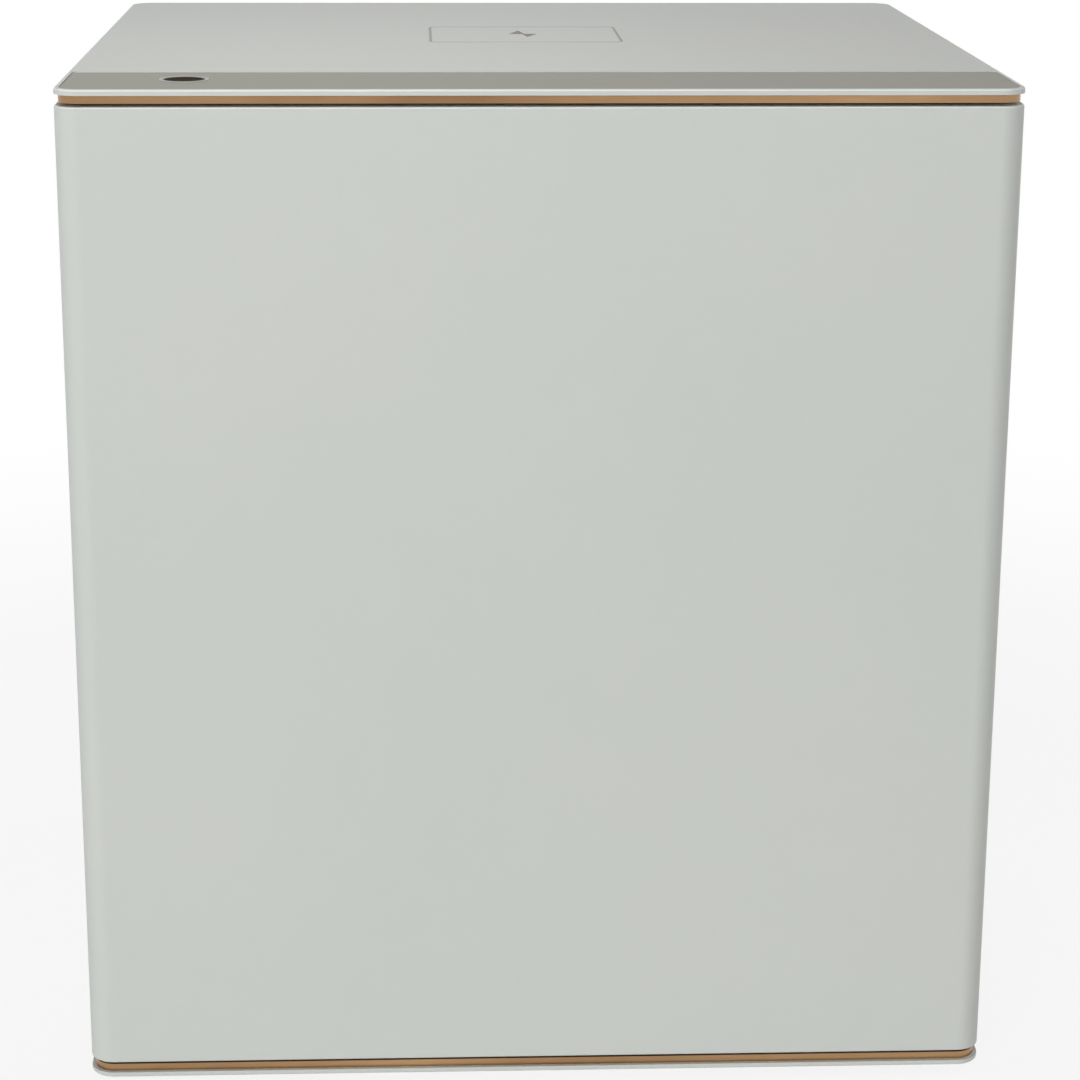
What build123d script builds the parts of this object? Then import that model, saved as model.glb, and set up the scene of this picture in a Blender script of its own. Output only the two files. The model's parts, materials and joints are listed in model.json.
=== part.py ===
from build123d import *
import math
import os

os.makedirs("parts", exist_ok=True)

# Overall size: X is the width, Y runs from the front to the back, Z is up
width = 450.0
depth = 405.0
height = 500.0
corner_radius = 12.0
front_y = -depth / 2
back_y = depth / 2
half_width = width / 2

# Clearances
fit_gap = 0.2
seat_gap = 0.3
running_gap = 0.05
cut_over = 1.0

# Upright stack, from the floor to the top
foot_height = 5.0
base_plate_thickness = 2.7
trim_height = 3.8
door_gap = 1.4
top_thickness = 2.8
base_plate_z = foot_height
lower_trim_z = base_plate_z + base_plate_thickness
body_z = lower_trim_z + trim_height
door_z = body_z + door_gap
top_panel_z = height - top_thickness
upper_trim_z = top_panel_z - trim_height
body_top = upper_trim_z
door_top = upper_trim_z - door_gap
door_mid_z = (door_z + door_top) / 2

# Copper trims and the plates inside them
trim_setback = 2.0
trim_width = 2.0
trim_bright_edge = 0.5
plate_inset = trim_setback + trim_width + fit_gap
edge_round = 1.2

# Door shell and the space behind it
door_thickness = 40.0
skin_wall = 2.0
armour_thickness = 4.0
front_gap = 3.0
door_back = front_y + door_thickness
body_front = door_back + front_gap
armour_front = door_back - armour_thickness

# Pivot of the door, near its right side
pivot_inset = 10.0
pivot_setback = 20.0
hinge_block_nose = 8.0
pivot_x = half_width - pivot_inset
pivot_y = front_y + pivot_setback
pin_radius = 4.0
pin_reach = 20.0
bush_radius = 6.0
hinge_block_height = 24.0
hinge_block_width = 18.0
hinge_block_front = pivot_y - hinge_block_nose
washer_thickness = 1.2

# Cabinet
casing_wall = 1.5
casing_flange = 15.0
vault_wall = 3.0
service_bay = 45.4
frame_thickness = 4.0
frame_back = body_front + frame_thickness
vault_inset = casing_wall + fit_gap
vault_roof_z = body_top - service_bay
vault_z = body_z + casing_wall
vault_floor = vault_z + vault_wall
vault_ceiling = vault_roof_z - vault_wall
vault_half = half_width - vault_inset - vault_wall
vault_back = back_y - vault_inset - vault_wall

# Mouth of the vault
jamb_lip = 22.0
sill_lip = 20.0
lintel_lip = 19.0
mouth_radius = 6.0
mouth_half = vault_half - jamb_lip
mouth_low = vault_floor + sill_lip
mouth_high = vault_ceiling - lintel_lip

# Boltwork housing, the plug on the back of the door
plug_free_gap = 5.0
plug_hinge_gap = 3.0
plug_end_gap = 4.0
plug_depth = 30.0
plug_wall = 2.0
plug_radius = 4.0
cover_thickness = 2.0
plug_left = -mouth_half + plug_free_gap
plug_right = mouth_half - plug_hinge_gap
plug_low = mouth_low + plug_end_gap
plug_high = mouth_high - plug_end_gap
plug_mid_x = (plug_left + plug_right) / 2
plug_mid_z = (plug_low + plug_high) / 2
plug_width = plug_right - plug_left
plug_height = plug_high - plug_low
plug_back = door_back + plug_depth
cover_front = plug_back - cover_thickness
housing_floor = door_back + plug_wall
post_radius = 5.0
post_inset = 12.0
screw_radius = 1.5
screw_head_radius = 3.5
screw_head_height = 1.5
screw_length = 5.0
screw_hole_depth = 10.0
screw_key_radius = 1.4
screw_key_depth = 0.9
bead_inset = 26.0
bead_width = 6.0
bead_depth = 0.8
bead_radius = 12.0

# Bolts
bolt_radius = 7.0
bolt_spacing = 120.0
bolt_shank_radius = 4.0
bolt_shank_length = 9.0
bolt_throw = 16.0
bolt_tip = 1.2
live_bolt_setback = 15.0
live_bolt_length = 43.0
fixed_bolt_setback = 20.0
fixed_bolt_length = 15.0
guide_wall = 2.0
guide_flange = 2.0
guide_thickness = 2.0
nut_flats = 13.0
nut_thickness = 5.0
live_bolt_y = door_back + live_bolt_setback
fixed_bolt_y = door_back + fixed_bolt_setback

# Bolt bar, rack and pinion
bar_thickness = 3.0
bar_width = 24.0
bar_end = 16.0
bar_clearance = 2.0
bar_flange_margin = 2.0
bar_front = housing_floor + bar_clearance
bar_back = bar_front + bar_thickness
bar_left = plug_left + live_bolt_length
bar_flange_back = live_bolt_y + bolt_radius + bar_flange_margin
arm_height = 24.0
stud_radius = 3.0
stud_gap = 0.2
stud_spacing = 120.0
stud_head_radius = 5.0
stud_head_height = 1.5
gear_module = 1.0
dedendum_share = 1.25
flank_steps = 3
pinion_teeth = 18
pressure_angle = math.radians(20)
backlash = 0.2
pinion_pitch_radius = gear_module * pinion_teeth / 2
pinion_reach = 70.3
pinion_x = bar_left + pinion_reach
pinion_side_gap = 0.5
pinion_width = 6.0
rack_thickness = 7.0
rack_depth = 8.0
rack_lead = 10.0
rack_rise = 2.0
rack_pitch_z = plug_mid_z + rack_rise
pinion_z = rack_pitch_z + pinion_pitch_radius
shaft_radius = 2.0

# Gear motor
bracket_thickness = 1.5
bracket_width = 30.0
bracket_margin = 9.0
bracket_gap = 1.0
gearbox_size = 24.0
gearbox_depth = 9.8
motor_radius = 4.8
motor_length = 30.0
bracket_front = bar_back + pinion_side_gap + pinion_width + bracket_gap
gearbox_front = bracket_front + bracket_thickness
gearbox_back = gearbox_front + gearbox_depth
bracket_low = plug_mid_z - arm_height / 2 - bracket_margin
bracket_high = pinion_z + gearbox_size / 2 + bracket_margin

# Batteries and their case
battery_count = 4
battery_radius = 7.1
battery_length = 49.0
battery_nub_radius = 2.7
battery_nub = 1.4
battery_gap = 0.4
cell_wall = 0.5
case_wall = 1.5
case_depth = 18.0
battery_inset = 95.3
battery_drop = 91.0
battery_x = plug_right - battery_inset
battery_z = plug_mid_z - battery_drop
battery_pitch = 2 * battery_radius + 2 * battery_gap + cell_wall
case_width = battery_count * battery_pitch + 2 * case_wall
case_length = battery_length + battery_nub + 2 * battery_gap + 2 * case_wall
case_back = housing_floor + case_depth
lid_overlap = 3.0
lid_gap = 0.4
lid_radius = 4.0
grip_width = 26.0
grip_height = 9.0
grip_depth = 1.2
grip_inset = 12.0
grip_rib_count = 4
grip_rib_width = 0.9
grip_rib_pitch = 5.2

# Reset button and the small board behind it
reset_inset = 95.3
reset_rise = 89.0
reset_x = plug_right - reset_inset
reset_z = plug_mid_z + reset_rise
reset_radius = 4.0
reset_gap = 0.15
reset_travel = 1.5
reset_proud = 1.8
reset_flange = 1.5
reset_stem = 4.0
board_thickness = 1.6
door_board_width = 80.0
door_board_height = 50.0
standoff_height = 6.0
standoff_radius = 3.0
switch_size = 12.0

# Finger pull in the free side of the door
pull_height = 90.0
pull_reach = 12.0
pull_depth = 16.0
pull_wall = 1.5
pull_radius = 3.0

# Seal, magnet and door sensor
seal_width = 7.0
seal_margin = 2.5
seal_thickness = front_gap - seat_gap
sensor_inset = 86.3
sensor_lift = 2.0
sensor_x = mouth_half - sensor_inset
sensor_length = 24.0
sensor_height = 6.0
sensor_depth = 8.0
magnet_length = 16.0
magnet_height = 6.0
magnet_depth = 5.0

# Top: touch strip, fingerprint reader and charger
strip_rim = 2.3
strip_depth = 68.2
glass_gap = 0.15
glass_thickness = 2.5
board_margin = 10.0
reader_inset = 57.7
reader_setback = 40.6
reader_x = -half_width + reader_inset
reader_radius = 9.75
ring_radius = 12.0
reader_y = front_y + reader_setback
reader_sink = 0.3
charger_setback = 232.0
charger_y = front_y + charger_setback
charger_window_x = 84.0
charger_window_y = 64.0
coil_radius = 25.0
coil_bore = 10.0
coil_thickness = 2.8
ferrite_size = 58.0
ferrite_thickness = 2.0
charger_board_x = 90.0
charger_board_y = 70.0
cradle_wall = 2.0
cradle_flange = 8.0

# Inside the vault
mat_thickness = 2.0
mat_margin = 3.0
shelf_rise = 189.0
shelf_z = vault_floor + shelf_rise
shelf_sheet = 1.5
shelf_setback = 75.0
shelf_lip = 15.0
bracket_leg = 15.0
light_length = 200.0
light_depth = 14.0
light_height = 5.0
light_wall = 1.5
light_setback = 18.0

# Control board above the vault
control_board_x = 120.0
control_board_y = 80.0
control_board_setback = 90.0
control_standoff = 8.0
control_margin = 6.0
capacitor_radius = 4.0
component_height = 6.0

# Rear sockets
socket_inset = 85.0
socket_rise = 22.0
socket_x = half_width - socket_inset
socket_z = vault_roof_z + socket_rise
socket_plate_x = 74.0
socket_plate_z = 26.0
socket_plate_thickness = 3.0
socket_lip = 3.0
power_offset = 24.0
power_x = socket_x + power_offset
power_radius = 4.5
power_bore = 3.2
power_pin = 1.0
power_pin_setback = 1.0
power_depth = 9.0
socket_body = 14.0
usb_width = 13.2
usb_height = 5.8
usb_wall = 0.4
usb_spacing = 20.0
usb_offset = 12.0
usb_x = socket_x - usb_offset
usb_back_wall = 2.0
usb_tongue_setback = 2.0
usb_tongue = 1.8

# Feet and anchor holes
foot_radius = 18.0
foot_inset_x = 35.0
foot_inset_y = 37.5
foot_spacing_x = width - 2 * foot_inset_x
foot_spacing_y = depth - 2 * foot_inset_y
floor_anchor_radius = 6.0
floor_anchor_x = 300.0
floor_anchor_y = 220.0
wall_anchor_radius = 5.0
wall_anchor_spacing = 280.0
wall_anchor_drop = 68.0
wall_anchor_z = vault_roof_z - wall_anchor_drop


def keep(piece, name):
    """Label a finished piece and write it to its own file."""
    piece.part.label = name
    export_step(piece.part, f"parts/{name}.step")


def block(x_low, x_high, y_low, y_high, z_low, z_high, mode=Mode.ADD):
    """Add or cut a rectangular block between two corners."""
    middle = ((x_low + x_high) / 2, (y_low + y_high) / 2, (z_low + z_high) / 2)
    with Locations(middle):
        Box(x_high - x_low, y_high - y_low, z_high - z_low, mode=mode)


def rod_y(x, z, y_low, y_high, radius, mode=Mode.ADD):
    """Add or cut a round rod that runs from the front towards the back."""
    with Locations(Location((x, (y_low + y_high) / 2, z), (90, 0, 0))):
        Cylinder(radius, y_high - y_low, mode=mode)


def rod_x(y, z, x_low, x_high, radius, mode=Mode.ADD):
    """Add or cut a round rod that runs across the width."""
    with Locations(Location(((x_low + x_high) / 2, y, z), (0, 90, 0))):
        Cylinder(radius, x_high - x_low, mode=mode)


def rod_z(x, y, z_low, z_high, radius, mode=Mode.ADD):
    """Add or cut an upright round rod."""
    with Locations((x, y, (z_low + z_high) / 2)):
        Cylinder(radius, z_high - z_low, mode=mode)


def slab(z_low, z_high, inset, mode=Mode.ADD):
    """Add or cut a full plan plate with rounded corners, set in by an inset."""
    with BuildSketch(Plane.XY.offset(z_low)) as plan:
        RectangleRounded(width - 2 * inset, depth - 2 * inset, corner_radius - inset)
    extrude(plan.sketch, amount=z_high - z_low, mode=mode)


def body_block(z_low, z_high, y_front, inset, mode=Mode.ADD):
    """Add or cut a cabinet block whose two rear upright corners are round."""
    with BuildSketch(Plane.XY.offset(z_low)) as plan:
        with Locations((0, (y_front + back_y - inset) / 2)):
            Rectangle(width - 2 * inset, back_y - inset - y_front)
        fillet(plan.vertices().group_by(Axis.Y)[-1], corner_radius - inset)
    extrude(plan.sketch, amount=z_high - z_low, mode=mode)


def door_block(z_low, z_high, y_back, inset, mode=Mode.ADD):
    """Add or cut a door block whose two front upright corners are round."""
    with BuildSketch(Plane.XY.offset(z_low)) as plan:
        with Locations((0, (front_y + inset + y_back) / 2)):
            Rectangle(width - 2 * inset, y_back - front_y - inset)
        fillet(plan.vertices().group_by(Axis.Y)[0], corner_radius - inset)
    extrude(plan.sketch, amount=z_high - z_low, mode=mode)


def plug_block(y_low, y_high, inset, mode=Mode.ADD):
    """Add or cut a block with the outline of the boltwork housing."""
    with BuildSketch(Plane.XZ.offset(-y_low)) as face:
        with Locations((plug_mid_x, plug_mid_z)):
            RectangleRounded(plug_width - 2 * inset, plug_height - 2 * inset, plug_radius - inset / 2)
    extrude(face.sketch, amount=y_low - y_high, mode=mode)


def bolt_heights():
    """Heights of the three bolts on each side of the door."""
    return [plug_mid_z + step * bolt_spacing for step in (-1, 0, 1)]


def post_places():
    """Places of the six posts that the inner cover is screwed to."""
    left = plug_left + post_inset
    right = plug_right - post_inset
    low = plug_low + post_inset
    high = plug_high - post_inset
    return [(x, z) for x in (left, plug_mid_x, right) for z in (low, high)]


# Base plate, the white slab that shows under the door
with BuildPart() as base_plate:
    slab(base_plate_z, lower_trim_z, 0)
    fillet(base_plate.faces().sort_by(Axis.Z)[0].edges(), edge_round)
    with GridLocations(floor_anchor_x, floor_anchor_y, 2, 2):
        Hole(floor_anchor_radius)
keep(base_plate, "base_plate")

# Four rubber feet under the base plate
with BuildPart() as feet:
    with BuildSketch(Plane.XY):
        with GridLocations(foot_spacing_x, foot_spacing_y, 2, 2):
            Circle(foot_radius)
    extrude(amount=foot_height)
    fillet(feet.edges().group_by(Axis.Z)[0], edge_round)
keep(feet, "feet")


# Copper trims, one ring under the door and one above it
def trim_ring(z_low, name):
    """Make one copper ring, set back from the faces above and below it."""
    with BuildPart() as ring:
        slab(z_low, z_low + trim_height, trim_setback)
        outer_edges = ring.faces().sort_by(Axis.Z)[-1].edges()
        chamfer(outer_edges, trim_bright_edge)
        slab(z_low, z_low + trim_height, trim_setback + trim_width, Mode.SUBTRACT)
    keep(ring, name)


trim_ring(lower_trim_z, "lower_trim")
trim_ring(upper_trim_z, "upper_trim")

# Base frame, the steel plate inside the lower trim, which carries the lower hinge pin
with BuildPart() as base_frame:
    slab(lower_trim_z, body_z, plate_inset)
    with GridLocations(floor_anchor_x, floor_anchor_y, 2, 2):
        Hole(floor_anchor_radius)
    rod_z(pivot_x, pivot_y, lower_trim_z, body_z, pin_radius, Mode.SUBTRACT)
keep(base_frame, "base_frame")

# Outer casing, one folded sheet for the sides and the back, with flanges above and below
with BuildPart() as outer_casing:
    body_block(body_z, body_top, body_front, 0)
    body_block(body_z + casing_wall, body_top - casing_wall, body_front - cut_over, casing_wall,
               Mode.SUBTRACT)
    block(
        -half_width + casing_flange,
        half_width - casing_flange,
        body_front - cut_over,
        back_y - casing_flange,
        body_z - cut_over,
        body_top + cut_over,
        Mode.SUBTRACT,
    )
    for side in (-1, 1):
        rod_y(side * wall_anchor_spacing / 2, wall_anchor_z, back_y - casing_flange, back_y + cut_over,
              wall_anchor_radius, Mode.SUBTRACT)
    block(
        socket_x - socket_plate_x / 2,
        socket_x + socket_plate_x / 2,
        back_y - casing_flange,
        back_y + cut_over,
        socket_z - socket_plate_z / 2,
        socket_z + socket_plate_z / 2,
        Mode.SUBTRACT,
    )
keep(outer_casing, "outer_casing")

# Vault box, the inner steel box, open to the front
with BuildPart() as vault_box:
    body_block(vault_z, vault_roof_z, frame_back, vault_inset)
    body_block(vault_floor, vault_ceiling, frame_back - cut_over, vault_inset + vault_wall,
               Mode.SUBTRACT)
    with GridLocations(floor_anchor_x, floor_anchor_y, 2, 2):
        Cylinder(floor_anchor_radius, 2 * vault_floor, mode=Mode.SUBTRACT)
    for side in (-1, 1):
        rod_y(side * wall_anchor_spacing / 2, wall_anchor_z, vault_back - cut_over, back_y,
              wall_anchor_radius, Mode.SUBTRACT)
keep(vault_box, "vault_box")

# Front frame, the steel plate with the mouth that the bolts lock behind
with BuildPart() as front_frame:
    block(
        -half_width + vault_inset,
        half_width - vault_inset,
        body_front,
        frame_back,
        vault_z,
        body_top - casing_wall - fit_gap,
    )
    with BuildSketch(Plane.XZ.offset(-body_front)):
        with Locations((0, (mouth_low + mouth_high) / 2)):
            RectangleRounded(2 * mouth_half, mouth_high - mouth_low, mouth_radius)
    extrude(amount=-frame_thickness, mode=Mode.SUBTRACT)
keep(front_frame, "front_frame")

# Top frame, the steel plate inside the upper trim, which carries the upper hinge pin
with BuildPart() as top_frame:
    slab(upper_trim_z, top_panel_z, plate_inset)
    block(
        -half_width + board_margin,
        half_width - 2 * board_margin,
        front_y + board_margin,
        front_y + strip_depth - board_margin / 2,
        top_panel_z - board_thickness,
        top_panel_z + cut_over,
        Mode.SUBTRACT,
    )
    rod_z(reader_x, reader_y, upper_trim_z, top_panel_z, reader_radius + fit_gap, Mode.SUBTRACT)
    rod_z(pivot_x, pivot_y, upper_trim_z, top_panel_z, pin_radius, Mode.SUBTRACT)
    block(
        -charger_window_x / 2,
        charger_window_x / 2,
        charger_y - charger_window_y / 2,
        charger_y + charger_window_y / 2,
        upper_trim_z - cut_over,
        top_panel_z + cut_over,
        Mode.SUBTRACT,
    )
keep(top_frame, "top_frame")


def strip_outline(z_low, z_high, inset, mode=Mode.ADD):
    """Add or cut the touch strip's outline, round at its two front corners."""
    y_low = front_y + strip_rim + inset
    y_high = front_y + strip_depth - inset
    with BuildSketch(Plane.XY.offset(z_low)) as plan:
        with Locations((0, (y_low + y_high) / 2)):
            Rectangle(width - 2 * (strip_rim + inset), y_high - y_low)
        fillet(plan.vertices().group_by(Axis.Y)[0], corner_radius - strip_rim - inset)
    extrude(plan.sketch, amount=z_high - z_low, mode=mode)


# Top panel, the white slab with the opening for the touch strip
with BuildPart() as top_panel:
    slab(top_panel_z, height, 0)
    fillet(top_panel.faces().sort_by(Axis.Z)[-1].edges(), edge_round)
    strip_outline(top_panel_z, height, 0, Mode.SUBTRACT)
keep(top_panel, "top_panel")

# Touch glass, let into the top panel, with a hole for the fingerprint reader
with BuildPart() as touch_glass:
    strip_outline(top_panel_z, top_panel_z + glass_thickness, glass_gap)
    rod_z(reader_x, reader_y, top_panel_z, height, ring_radius + glass_gap, Mode.SUBTRACT)
keep(touch_glass, "touch_glass")

# Keypad board in the pocket under the touch glass
with BuildPart() as keypad_board:
    block(
        -half_width + board_margin + fit_gap,
        half_width - 2 * board_margin - fit_gap,
        front_y + board_margin + fit_gap,
        front_y + strip_depth - board_margin / 2 - fit_gap,
        top_panel_z - board_thickness,
        top_panel_z,
    )
    rod_z(reader_x, reader_y, upper_trim_z, height, ring_radius + fit_gap, Mode.SUBTRACT)
keep(keypad_board, "keypad_board")

# Light ring round the fingerprint reader
with BuildPart() as fingerprint_ring:
    with BuildSketch(Plane.XY.offset(top_panel_z)):
        with Locations((reader_x, reader_y)):
            Circle(ring_radius)
            Circle(reader_radius + glass_gap, mode=Mode.SUBTRACT)
    extrude(amount=top_thickness)
    fillet(fingerprint_ring.edges().group_by(Axis.Z)[-1], seat_gap)
keep(fingerprint_ring, "fingerprint_ring")

# Fingerprint reader, a flat round module through the top frame
with BuildPart() as fingerprint_sensor:
    rod_z(reader_x, reader_y, upper_trim_z + fit_gap, height - reader_sink, reader_radius)
    chamfer(fingerprint_sensor.edges().group_by(Axis.Z)[-1], seat_gap)
keep(fingerprint_sensor, "fingerprint_sensor")

# Wireless charger: coil on ferrite on a board, held up by a cradle under the top frame
coil_low = top_panel_z - seat_gap - coil_thickness
ferrite_low = coil_low - ferrite_thickness
charger_board_low = ferrite_low - board_thickness
with BuildPart() as charging_coil:
    with BuildSketch(Plane.XY.offset(coil_low)):
        with Locations((0, charger_y)):
            Circle(coil_radius)
            Circle(coil_bore, mode=Mode.SUBTRACT)
    extrude(amount=coil_thickness)
keep(charging_coil, "charging_coil")

with BuildPart() as coil_ferrite:
    with BuildSketch(Plane.XY.offset(ferrite_low)):
        with Locations((0, charger_y)):
            RectangleRounded(ferrite_size, ferrite_size, corner_radius / 2)
    extrude(amount=ferrite_thickness)
keep(coil_ferrite, "coil_ferrite")

with BuildPart() as charging_board:
    with BuildSketch(Plane.XY.offset(charger_board_low)):
        with Locations((0, charger_y)):
            RectangleRounded(charger_board_x, charger_board_y, corner_radius / 4)
    extrude(amount=board_thickness)
keep(charging_board, "charging_board")

with BuildPart() as coil_cradle:
    cradle_x = charger_board_x / 2 + fit_gap + cradle_wall
    cradle_y = charger_board_y / 2 + fit_gap + cradle_wall
    cradle_low = charger_board_low - cradle_wall
    block(-cradle_x, cradle_x, charger_y - cradle_y, charger_y + cradle_y, cradle_low, upper_trim_z)
    block(
        -cradle_x + cradle_wall,
        cradle_x - cradle_wall,
        charger_y - cradle_y + cradle_wall,
        charger_y + cradle_y - cradle_wall,
        charger_board_low,
        upper_trim_z + cut_over,
        Mode.SUBTRACT,
    )
    for side in (-1, 1):
        ear_x = side * (cradle_x + cradle_flange / 2)
        block(
            ear_x - cradle_flange / 2,
            ear_x + cradle_flange / 2,
            charger_y - cradle_flange,
            charger_y + cradle_flange,
            upper_trim_z - cradle_wall,
            upper_trim_z,
        )
keep(coil_cradle, "coil_cradle")

# Control board on four standoffs above the vault roof
control_low = vault_roof_z + control_standoff
control_y = frame_back + control_board_setback
with BuildPart() as board_standoffs:
    with BuildSketch(Plane.XY.offset(vault_roof_z)):
        with Locations((0, control_y)):
            standoff_x = control_board_x - 2 * control_margin
            standoff_y = control_board_y - 2 * control_margin
            with GridLocations(standoff_x, standoff_y, 2, 2):
                Circle(standoff_radius)
    extrude(amount=control_standoff)
keep(board_standoffs, "board_standoffs")

with BuildPart() as control_board:
    with BuildSketch(Plane.XY.offset(control_low)):
        with Locations((0, control_y)):
            Rectangle(control_board_x, control_board_y)
    extrude(amount=board_thickness)
    with BuildSketch(Plane.XY.offset(control_low + board_thickness)):
        with Locations((0, control_y)):
            Rectangle(switch_size, switch_size)
            with GridLocations(control_board_x / 2, control_board_y / 2, 2, 2):
                Circle(capacitor_radius)
    extrude(amount=component_height)
keep(control_board, "control_board")

# Socket plate in the back of the casing, with the power socket and two charging ports
plate_back = back_y
plate_front = plate_back - socket_plate_thickness
with BuildPart() as rear_socket_plate:
    half_x = socket_plate_x / 2 - fit_gap
    half_z = socket_plate_z / 2 - fit_gap
    block(socket_x - half_x, socket_x + half_x, plate_front, plate_back, socket_z - half_z, socket_z + half_z)
    block(
        socket_x - half_x - socket_lip,
        socket_x + half_x + socket_lip,
        plate_front,
        back_y - casing_wall,
        socket_z - half_z - socket_lip,
        socket_z + half_z + socket_lip,
    )
    rod_y(power_x, socket_z, plate_front - cut_over, plate_back + cut_over, power_radius + fit_gap,
          Mode.SUBTRACT)
    for side in (-1, 1):
        port_x = usb_x + side * usb_spacing / 2
        block(
            port_x - usb_width / 2 - fit_gap,
            port_x + usb_width / 2 + fit_gap,
            plate_front - cut_over,
            plate_back + cut_over,
            socket_z - usb_height / 2 - fit_gap,
            socket_z + usb_height / 2 + fit_gap,
            Mode.SUBTRACT,
        )
keep(rear_socket_plate, "rear_socket_plate")

with BuildPart() as power_socket:
    rod_y(power_x, socket_z, plate_front, plate_back - seat_gap, power_radius)
    block(
        power_x - socket_body / 2,
        power_x + socket_body / 2,
        plate_front - socket_body,
        plate_front,
        socket_z - socket_body / 2,
        socket_z + socket_body / 2,
    )
    rod_y(power_x, socket_z, plate_back - power_depth, plate_back, power_bore, Mode.SUBTRACT)
    rod_y(power_x, socket_z, plate_back - power_depth, plate_back - power_pin_setback, power_pin)
keep(power_socket, "power_socket")

with BuildPart() as usb_ports:
    for side in (-1, 1):
        port_x = usb_x + side * usb_spacing / 2
        port_front = plate_back - socket_body
        half_x = usb_width / 2
        half_z = usb_height / 2
        block(port_x - half_x, port_x + half_x, port_front, plate_back - seat_gap, socket_z - half_z,
              socket_z + half_z)
        block(
            port_x - half_x + usb_wall,
            port_x + half_x - usb_wall,
            port_front + usb_back_wall,
            plate_back,
            socket_z - half_z + usb_wall,
            socket_z + half_z - usb_wall,
            Mode.SUBTRACT,
        )
        block(
            port_x - half_x + 2 * usb_wall,
            port_x + half_x - 2 * usb_wall,
            port_front + usb_back_wall / 2,
            plate_back - usb_tongue_setback,
            socket_z - usb_tongue / 2,
            socket_z + usb_tongue / 2,
        )
keep(usb_ports, "usb_ports")

# Shelf of folded sheet, on an angle bracket along each side of the vault
shelf_front = frame_back + shelf_setback
shelf_back = vault_back - corner_radius
shelf_half = vault_half - seat_gap
with BuildPart() as shelf_brackets:
    for side in (-1, 1):
        with BuildSketch(Plane.XZ.offset(-shelf_front - shelf_lip)) as angle:
            with BuildLine():
                wall_x = side * vault_half
                Polyline(
                    (wall_x, shelf_z),
                    (wall_x - side * bracket_leg, shelf_z),
                    (wall_x - side * bracket_leg, shelf_z - shelf_sheet),
                    (wall_x - side * shelf_sheet, shelf_z - shelf_sheet),
                    (wall_x - side * shelf_sheet, shelf_z - bracket_leg),
                    (wall_x, shelf_z - bracket_leg),
                    close=True,
                )
            make_face()
        extrude(angle.sketch, amount=shelf_front + shelf_lip - shelf_back)
keep(shelf_brackets, "shelf_brackets")

with BuildPart() as shelf:
    block(-shelf_half, shelf_half, shelf_front, shelf_back, shelf_z, shelf_z + shelf_sheet)
    block(-shelf_half, shelf_half, shelf_front, shelf_front + shelf_sheet, shelf_z - shelf_lip, shelf_z)
    fold = shelf.edges().filter_by(Axis.X).group_by(Axis.Y)[0].sort_by(Axis.Z)[-1]
    fillet(fold, shelf_sheet)
keep(shelf, "shelf")

# Felt mats, one on the vault floor round the anchor holes and one on the shelf
with BuildPart() as felt_mats:
    with BuildSketch(Plane.XY.offset(vault_floor)):
        with Locations((0, (frame_back + vault_back) / 2)):
            mat_x = 2 * (vault_half - mat_margin)
            mat_y = vault_back - frame_back - 2 * mat_margin
            RectangleRounded(mat_x, mat_y, corner_radius)
        with GridLocations(floor_anchor_x, floor_anchor_y, 2, 2):
            Circle(floor_anchor_radius + mat_thickness, mode=Mode.SUBTRACT)
    extrude(amount=mat_thickness)
    with BuildSketch(Plane.XY.offset(shelf_z + shelf_sheet)):
        with Locations((0, (shelf_front + shelf_back) / 2)):
            shelf_mat_x = 2 * (shelf_half - mat_margin)
            shelf_mat_y = shelf_back - shelf_front - 2 * mat_margin
            RectangleRounded(shelf_mat_x, shelf_mat_y, mat_margin)
    extrude(amount=mat_thickness)
keep(felt_mats, "felt_mats")

# Light bar under the vault ceiling, a channel with an opal lens
light_y = plug_back + light_setback
with BuildPart() as light_housing:
    block(
        -light_length / 2,
        light_length / 2,
        light_y - light_depth / 2,
        light_y + light_depth / 2,
        vault_ceiling - light_height,
        vault_ceiling,
    )
    block(
        -light_length / 2 + light_wall,
        light_length / 2 - light_wall,
        light_y - light_depth / 2 + light_wall,
        light_y + light_depth / 2 - light_wall,
        vault_ceiling - light_height - cut_over,
        vault_ceiling - light_wall,
        Mode.SUBTRACT,
    )
keep(light_housing, "light_housing")

with BuildPart() as light_lens:
    block(
        -light_length / 2 + light_wall + fit_gap,
        light_length / 2 - light_wall - fit_gap,
        light_y - light_depth / 2 + light_wall + fit_gap,
        light_y + light_depth / 2 - light_wall - fit_gap,
        vault_ceiling - light_height,
        vault_ceiling - light_wall,
    )
keep(light_lens, "light_lens")

# Hinge pins, one up from the base frame and one down from the top frame
with BuildPart() as hinge_pins:
    rod_z(pivot_x, pivot_y, lower_trim_z, door_z + pin_reach, pin_radius)
    rod_z(pivot_x, pivot_y, door_top - pin_reach, top_panel_z, pin_radius)
    pin_ends = hinge_pins.edges().filter_by(GeomType.CIRCLE).group_by(Axis.Z)
    chamfer([*pin_ends[1], *pin_ends[2]], cut_over)
keep(hinge_pins, "hinge_pins")

# Washer on the base frame that carries the door
with BuildPart() as thrust_washer:
    with BuildSketch(Plane.XY.offset(body_z)):
        with Locations((pivot_x, pivot_y)):
            Circle(bush_radius)
            Circle(pin_radius + running_gap, mode=Mode.SUBTRACT)
    extrude(amount=washer_thickness)
keep(thrust_washer, "thrust_washer")

# Door sensor on the back of the front frame, above the mouth
with BuildPart() as door_sensor:
    block(
        sensor_x - sensor_length / 2,
        sensor_x + sensor_length / 2,
        frame_back,
        frame_back + sensor_depth,
        mouth_high + sensor_lift,
        mouth_high + sensor_lift + sensor_height,
    )
keep(door_sensor, "door_sensor")

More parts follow.
